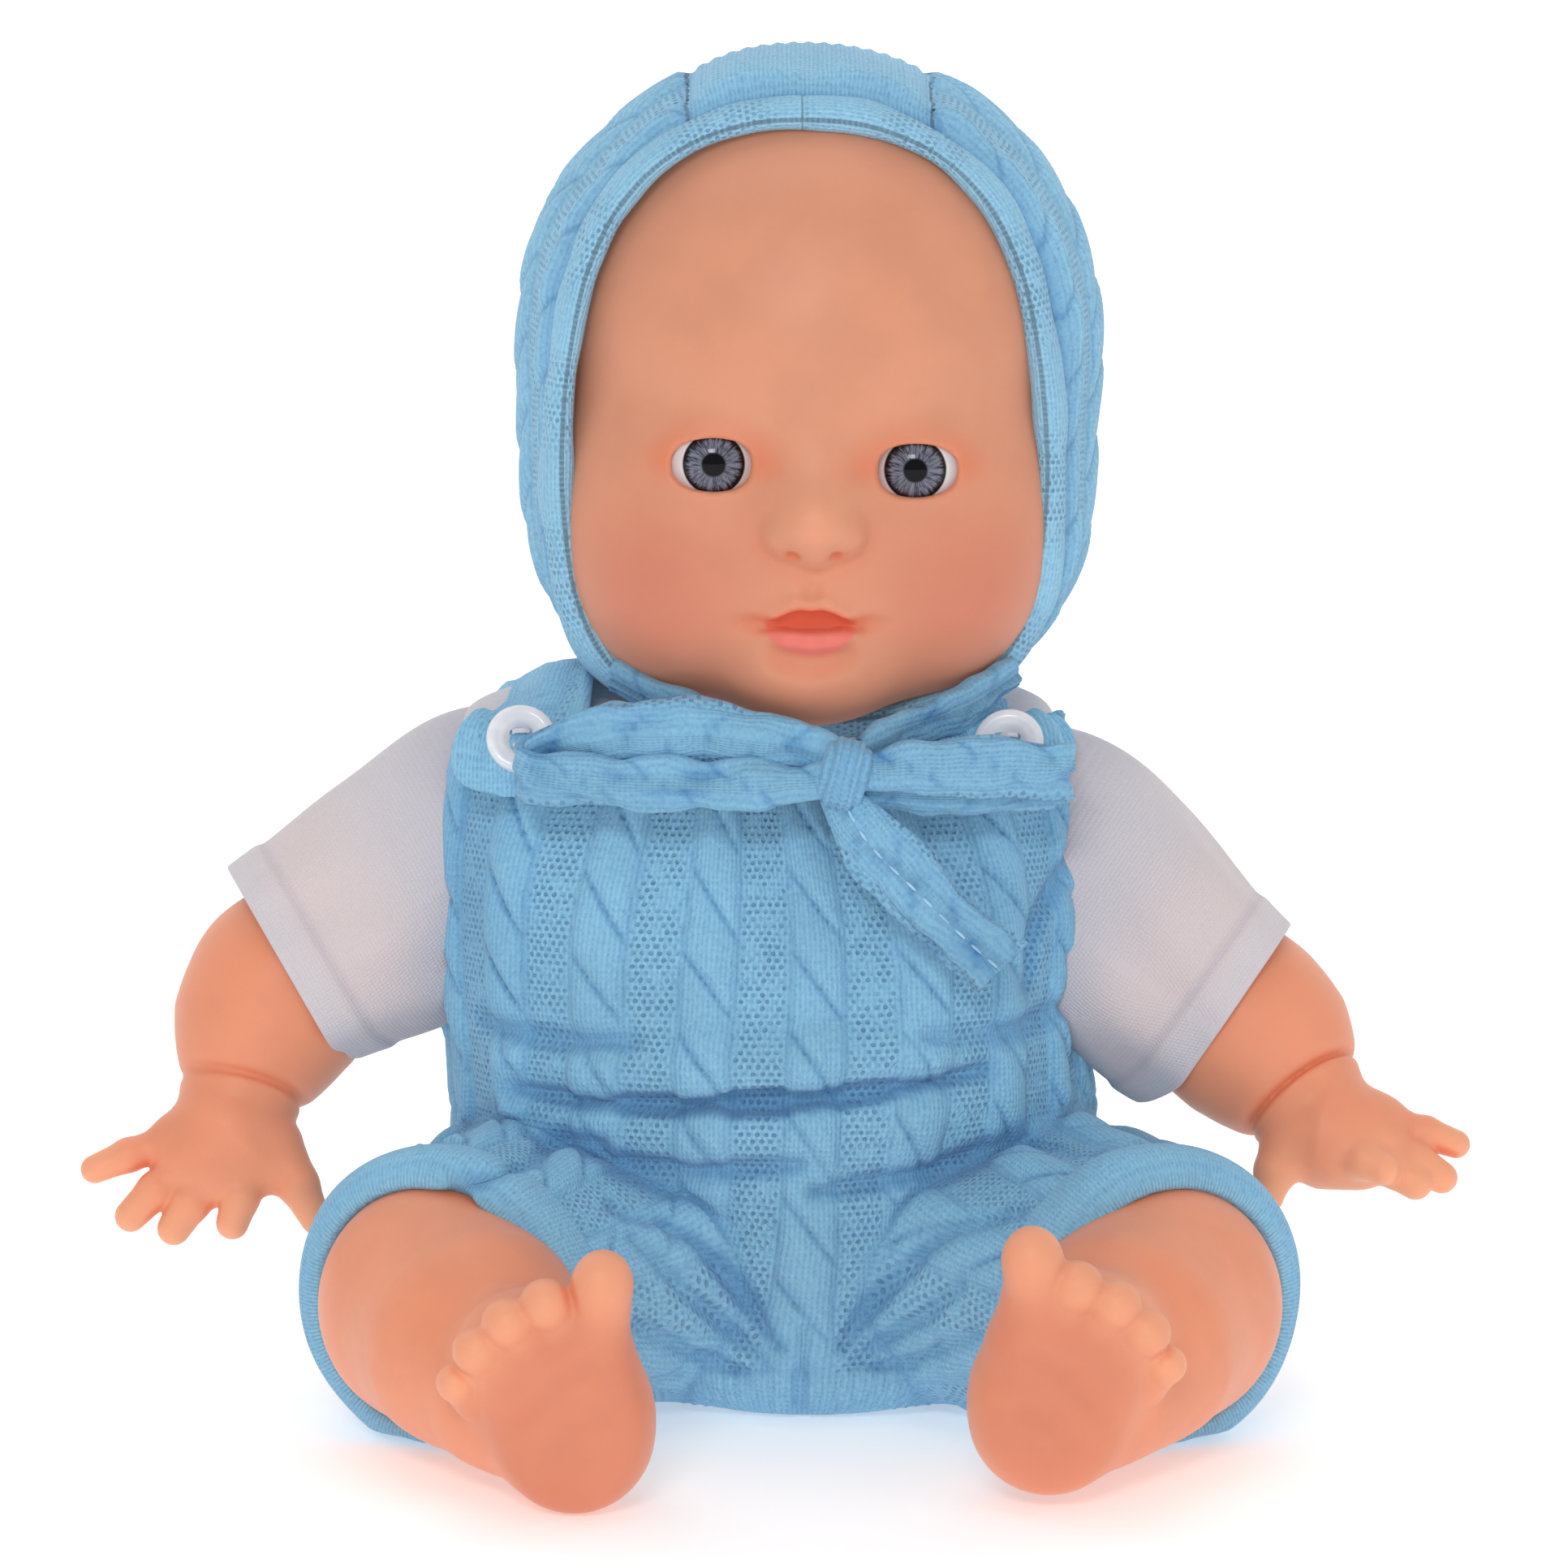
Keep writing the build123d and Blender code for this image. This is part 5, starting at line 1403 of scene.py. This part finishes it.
def make_legs():
    for name, side in SIDES.items():
        axis = leg_axis(side)
        clay = Clay(
            (min(side * 17, side * 71), -97, -1.5), (max(side * 17, side * 71), -34, 45), 0.45
        )
        inner = HIP[name] + axis * 40
        shin = [inner, HIP[name] + axis * 49, vec(side * 45.5, -58, 18.6), vec(side * 39.5, -67, 15)]
        clay.add(clay.chain(shin, [16.0, 16.4, 15.0, 12.2], 5), 0.1)
        # the foot stands on its heel with the sole to the front; the right one is lifted a little
        move = vec(0, -3.2, 0) if side < 0 else vec(3.0, -0.4, 1.8)
        heel = vec(side * 31.0, -75.0, 10.6) + move
        ball_at = vec(side * 34.2, -76.0, 19.6) + move
        clay.add(clay.bone(vec(side * 39.5, -67, 15) + move / 2, heel, 12, 10.2), 4)
        clay.add(clay.blob(heel, (10.4, 11.0, 10.5)), 3)
        clay.add(clay.blob(ball_at, (13.0, 10.2, 9.6), turn=-side * 36), 5)
        clay.add(clay.bone(heel + vec(side * 1, 0, 4), ball_at, 9.6, 10.0), 4)
        sole = clay.y - move[1] + 84.9 + 0.03 * (clay.z - 14) + 0 * clay.d
        clay.cut(sole, 4.0)
        big = vec(side * 26.9, -83.0, 33.0) + move * (1.0 if side < 0 else 1.5)
        clay.add(clay.bone(vec(side * 29.5, -78.5, 23) + move, big + vec(side * 0.4, 1.6, -3.4), 6.6, 4.4), 3)
        clay.add(clay.blob(big, (4.3, 4.5, 5.0), turn=-side * 8), 1.2)
        toes = []
        small_toes = [
            (34.5, -83.6, 30.6, 3.5),
            (39.8, -83.5, 28.0, 3.35),
            (44.0, -82.8, 24.0, 3.2),
            (46.9, -80.8, 19.0, 2.6),
        ]
        for x, y, z, radius in small_toes:
            at = vec(side * x, y, z) + move
            clay.add(clay.bone(at + vec(-side * 2.0, 3.2, -3.4), at, radius * 0.95, radius * 0.9), 1.6)
            clay.add(clay.blob(at, (radius, radius, radius)), 0.7)
            toes.append((at + vec(0, -1.2, 0.8), 4.4))
        toes.append((big + vec(0, -1, 1.5), 6.0))
        creases = [
            [(side * 28, 0, 23), (side * 33, 0, 20.5), (side * 38.5, 0, 14.5)],
            [(side * 27, 0, 15.5), (side * 31, 0, 14), (side * 34, 0, 10.5)],
        ]
        for line in creases:
            lift = 0.7 if side > 0 else 0.95
            line = [(x + move[0], clay.skin(x + move[0], z) - lift, z) for x, _, z in line]
            clay.cut(clay.chain(line, [0.4] * len(line)), 2.6)
        clay.trim(-0.05 - clay.z)
        clay.trim(-((clay.x - inner[0]) * axis[0] + (clay.y - inner[1]) * axis[1]))
        points, faces = clay.surface()
        normals = clay.slope(points, 0.6)
        marks = skin_marks(clay, points, normals, toes, 2.4)
        along, _, _ = leg_frame(points, name)
        marks["rosy"] = 0.4 * step(-79, -85, points[:, 1]) * (1 - marks["pale"])
        # warm painted shade where the leg goes into the cuff
        marks["blush_and_shade"] = np.maximum(marks["blush_and_shade"], 0.6 * step(56, 50, along))
        obj = make(f"leg_{name}", points, faces, LIMB, marks)
        place(obj, f"leg_{name}", "vinyl_skin", f"vinyl_leg_{name}")


# ------------------------------------------------------------------ bow and ties


def ribbon(name, line, widths, thick, body, nodes, count=150, up=(0, 0, 1), rise=0.7, seed=1):
    """A flattened tube of knit along a line, as wide as widths say along it."""
    path = curve(line, count)
    where = np.linspace(0, 1, len(widths))

    def profile(t):
        wide = np.interp(t, where, widths)
        return oval(thick, wide, 40, 3.2)

    points, faces, _, t = sweep(path, profile, lambda k: up)
    centre = np.repeat(path, 40, axis=0)
    normals = unit(points - centre)
    across = np.linalg.norm(points - centre, axis=1) * np.sign(normals[:, 2])
    height, fold_shade, lace = cable(across + 3.0, t + seed * 4, rise)
    line_up = np.cos(across * 1.9 + 1.4 * np.sin(t / 9.0 + seed)) * np.sin(t / 13.0 + seed) ** 2
    slack = 0.7 * smooth_noise(points, 4.5, seed) + 0.3 * smooth_noise(points, 2.2, seed + 7) + 0.8 * line_up
    points = points + normals * (height + slack)[:, None]
    # painted shade in the cable creases and in the low spots of the slack
    shade = np.clip(0.5 * fold_shade + 0.5 * step(-0.2, -1.2, slack), 0, 1)
    marks = knit_marks(across, t, lace, shade)
    obj = make(name, points, faces, BOW, marks)
    if body:
        place(obj, body, "blue_knit", *nodes)
    return obj, path


def make_bow():
    left = [
        (6.0, -35.6, 96.6),
        (1.0, -35.4, 98.6),
        (-8, -35.2, 100.2),
        (-21, -34.4, 100.6),
        (-33, -32.0, 98.6),
        (-38.2, -31.8, 96.4),
        (-37.2, -34.2, 94.8),
        (-28, -35.6, 94.0),
        (-12, -37.0, 93.8),
        (1.0, -37.2, 94.4),
        (6.0, -36.4, 95.0),
    ]
    widths = [3.4, 7.2, 9.8, 10.8, 10.0, 8.4, 7.6, 7.0, 6.4, 5.0, 4.0]
    ribbon("bow_left", left, widths, 2.6, "torso", ["bow_loop_left"], 190, seed=2)
    right = [
        (6.0, -36.4, 95.6),
        (11, -37.2, 96.3),
        (19, -37.4, 96.6),
        (30, -34.6, 96.4),
        (36.4, -31.6, 95.6),
        (36.0, -29.6, 94.2),
        (28, -31.4, 93.0),
        (9, -34.2, 93.0),
    ]
    widths = [4.0, 6.6, 8.2, 8.6, 8, 7, 7, 6]
    ribbon("bow_right", right, widths, 2.8, "torso", ["bow_loop_right"], 150, seed=5)
    points, faces = ball(vec(0, 0, 0), 1.0, 40, 64)
    x, y, z = points.T
    shape = np.stack([np.sign(x) * np.abs(x) ** 0.8 * 3.7, y * 3.9, np.sign(z) * np.abs(z) ** 0.75 * 5.2], 1)
    ribs = 0.22 * np.cos(shape[:, 0] * 2 * math.pi / 1.5)
    shape += unit(points) * ribs[:, None]
    tilt = math.radians(-14)
    turn = np.array([[math.cos(tilt), 0, math.sin(tilt)], [0, 1, 0], [-math.sin(tilt), 0, math.cos(tilt)]])
    marks = knit_marks(shape[:, 0], shape[:, 2], 0 * x, 0.25 + 0 * x)
    knot = make("bow_knot_wrap", shape @ turn + vec(6.2, -37.4, 95.4), faces, RIB, marks)
    place(knot, "torso", "blue_knit", "bow_knot")
    tail = [(5.2, -36.4, 93.2), (9.5, -38.4, 86), (16, -39.0, 79.4), (22.8, -38.4, 72.6), (28.4, -36.6, 67.2)]
    _, path = ribbon(
        "bow_tail_strip",
        tail,
        [5.4, 9.4, 10, 10.2, 10.4],
        1.7,
        "torso",
        ["bow_tail"],
        110,
        (0.7, -0.1, 0.72),
        0.12,
        9,
    )
    front = path + vec(0, -1.45, 0)
    out = np.tile(vec(0, -1, 0), (len(front) - 8, 1))
    row = stitches("bow_tail_stitches", front[8:], out, THREAD, 2.0, 1.3, 0.45)
    place(row, "torso", "blue_knit")


def make_ties():
    """The bonnet's ties, from the jaw to the knot."""
    lines = {
        "left": [(-27, -20.5, 106.5), (-18, -25, 102.6), (-8, -30, 100.4), (2.5, -34, 99.2)],
        "right": [(31, -20.5, 107.2), (24, -25, 103.2), (15, -30, 100.6), (8.5, -34, 98.4)],
    }
    for name, line in lines.items():
        tie, _ = ribbon(
            f"tie_{name}", line, [5.5, 6.2, 6.2, 4.5], 2.4, None, [], 80, (0, -0.3, 0.95), 0.3, 14
        )
        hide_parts(f"bonnet_tie_{name}")
        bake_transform(tie)


# ------------------------------------------------------------------ stuffing and hidden parts


VOXEL = 5 * MM  # of the cushions


def stuff(node, body, shrink, cap):
    """A cushion swollen from its plain CAD solid by cloth simulation, no further than cap mm."""
    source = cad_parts[node]
    mesh = source.data.copy()
    obj = link(node + "_filled", mesh)
    bpy.context.view_layer.objects.active = obj
    remesh = obj.modifiers.new("remesh", "REMESH")
    remesh.mode, remesh.voxel_size = "VOXEL", VOXEL
    obj.data = bpy.data.meshes.new_from_object(obj.evaluated_get(bpy.context.evaluated_depsgraph_get()))
    obj.modifiers.clear()
    mesh = obj.data
    count = len(mesh.vertices)
    rest = np.empty(count * 3, np.float32)
    mesh.vertices.foreach_get("co", rest)
    rest = rest.reshape(-1, 3)
    normals = np.array([v.normal[:] for v in mesh.vertices])
    rest = rest - normals * shrink * MM
    mesh.vertices.foreach_set("co", rest.astype(np.float32).ravel())
    cloth = obj.modifiers.new("cloth", "CLOTH")
    cloth.settings.use_pressure = True
    cloth.settings.uniform_pressure_force = 3.0
    cloth.settings.effector_weights.gravity = 0
    for number in range(1, 21):
        bpy.context.scene.frame_set(number)
    moved = np.empty(count * 3, np.float32)
    result = obj.evaluated_get(bpy.context.evaluated_depsgraph_get()).to_mesh()
    result.vertices.foreach_get("co", moved)
    change = moved.reshape(-1, 3) - rest
    size = np.linalg.norm(change, axis=1, keepdims=True)
    rest = rest + change * np.minimum(1, cap * MM / np.maximum(size, 1e-9))
    obj.modifiers.clear()
    bpy.context.scene.frame_set(1)
    mesh.vertices.foreach_set("co", rest.astype(np.float32).ravel())
    mesh.materials.clear()
    mesh.materials.append(BODY_CLOTH)
    mesh.polygons.foreach_set("use_smooth", [True] * len(mesh.polygons))
    smooth = obj.modifiers.new("smooth", "SUBSURF")
    smooth.levels = smooth.render_levels = 1
    place(obj, body, "body_cloth", node)


def tricot():
    """The plain cotton of the stuffed body."""
    p = Paint("body_cotton", Roughness=0.92, Sheen_Weight=0.2)
    weave = p.node("TexWave", {"Vector": p.place(), "Scale": 900.0, "Distortion": 1.5})
    p.bump(weave, 0.0002, 0.5)
    return p.colour(p.mix(p.ramp(p.noise(120, 3), 0.35, 0.7), srgb(240, 205, 186), srgb(226, 188, 168)))


BODY_CLOTH = tricot()
NYLON = plain("nylon_tie", srgb(232, 230, 222), srgb(214, 210, 200), 0.38)


def paint_hidden():
    """Finishes for the CAD parts that keep their own shape."""
    finish = {
        "module_plastic": plain("abs_white", srgb(226, 226, 222), srgb(210, 210, 206), 0.42),
        "button_plastic": plain("button_red", srgb(206, 66, 60), srgb(188, 54, 50), 0.36),
        "plated_steel": plain("plated_steel", (0.56, 0.57, 0.58), (0.42, 0.43, 0.45), 0.28, Metallic=1.0),
        "battery_jacket": plain("battery_jacket", srgb(52, 70, 96), srgb(40, 54, 78), 0.34),
        "circuit_board": plain("circuit_green", srgb(28, 92, 58), srgb(20, 74, 46), 0.4),
        "switch_black": plain("switch_black", srgb(28, 28, 30), srgb(40, 40, 42), 0.45),
        "speaker_paper": plain("speaker_paper", srgb(58, 54, 50), srgb(74, 68, 62), 0.85),
        "nylon_tie": NYLON,
        "body_cloth": BODY_CLOTH,
    }
    for name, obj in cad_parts.items():
        if obj.hide_render:
            continue
        paint = finish[guess(name)]
        for slot in obj.material_slots:
            slot.material = paint
        if not obj.material_slots:
            obj.data.materials.append(paint)


def guess(name):
    """The finish of a hidden part, by what it is."""
    words = {
        "batter": "battery_jacket",
        "contact": "plated_steel",
        "screw": "plated_steel",
        "spring": "plated_steel",
        "magnet": "plated_steel",
        "board": "circuit_board",
        "switch": "switch_black",
        "cone": "speaker_paper",
        "frame": "switch_black",
        "press_button": "button_plastic",
        "tie": "nylon_tie",
        "strip": "switch_black",
        "cushion": "body_cloth",
        "body": "body_cloth",
    }
    found = "module_plastic"
    for word, slot in words.items():
        if word in name:
            found = slot
    if name == "battery_contacts":
        found = "plated_steel"
    return found


# ------------------------------------------------------------------ light and camera


def make_stage():
    floor_mesh = bpy.data.meshes.new("floor")
    size, bend = 3.0, 24
    profile = [(-size, 0.0), (0.55, 0.0)]
    for k in range(1, bend + 1):
        a = math.pi / 2 * k / bend
        profile.append((0.55 + 0.5 * math.sin(a), 0.5 - 0.5 * math.cos(a)))
    profile.append((1.05, 3.0))
    points, faces = [], []
    for y, z in profile:
        points += [(-size, y, z - 0.0002), (size, y, z - 0.0002)]
    for k in range(len(profile) - 1):
        faces.append((2 * k, 2 * k + 1, 2 * k + 3, 2 * k + 2))
    floor_mesh.from_pydata(points, [], faces)
    p = Paint("paper_white", Roughness=0.9, Emission_Strength=0.34)
    p.feed(p.shader.inputs["Emission Color"], (1.0, 1.0, 1.0))
    p.colour(p.mix(p.ramp(p.noise(3, 2), 0.3, 0.7), (0.92, 0.92, 0.925), (0.9, 0.9, 0.905)))
    floor_mesh.materials.append(p.material)
    link("floor", floor_mesh)

    def lamp(name, at, size, power):
        data = bpy.data.lights.new(name, "AREA")
        data.shape, data.size, data.size_y = "RECTANGLE", size[0], size[1]
        data.energy = power
        obj = link(name, data)
        obj.location = at
        obj.rotation_euler = (Vector((0, 0, 0.09)) - Vector(at)).to_track_quat("-Z", "Y").to_euler()
        return obj

    lamp("key", (-0.16, -1.3, 0.8), (0.4, 0.22), 4.9)
    lamp("fill", (1.3, -0.9, 0.6), (1.0, 1.0), 2.0)
    low = lamp("low", (0.0, -2.0, 0.05), (2.6, 0.9), 9.0)
    low.visible_glossy = False
    lamp("top", (-0.2, 0.2, 1.4), (1.2, 1.2), 4.5)
    world = bpy.data.worlds.new("studio")
    world.use_nodes = True
    back = world.node_tree.nodes["Background"]
    back.inputs["Color"].default_value = (1.0, 1.0, 1.0, 1)
    back.inputs["Strength"].default_value = 0.42
    bpy.context.scene.world = world

    camera = bpy.data.cameras.new("camera")
    camera.lens, camera.sensor_width = 140, 36
    camera.clip_start, camera.clip_end = 0.05, 20
    obj = link("camera", camera)
    lift = math.radians(9)
    target = Vector((-0.0023, 0, 0.088))
    obj.location = target + Vector((0, -0.9 * math.cos(lift), 0.9 * math.sin(lift)))
    obj.rotation_euler = (target - obj.location).to_track_quat("-Z", "Y").to_euler()
    bpy.context.scene.camera = obj


# ------------------------------------------------------------------ the whole doll

finish_head(sculpt_head())
make_eyes()
make_bonnet()
make_band()
make_romper()
back_seam()
make_straps()
make_shirt()
make_sleeves()
make_arms()
make_legs()
make_bow()
make_ties()
stuff("stuffed_body", "torso", 2.0, 3.0)
for each in SIDES:
    stuff(f"thigh_cushion_{each}", f"thigh_{each}", 2.4, 2.0)
    stuff(f"upper_arm_cushion_{each}", f"upper_arm_{each}", 1.6, 2.0)
paint_hidden()
make_stage()
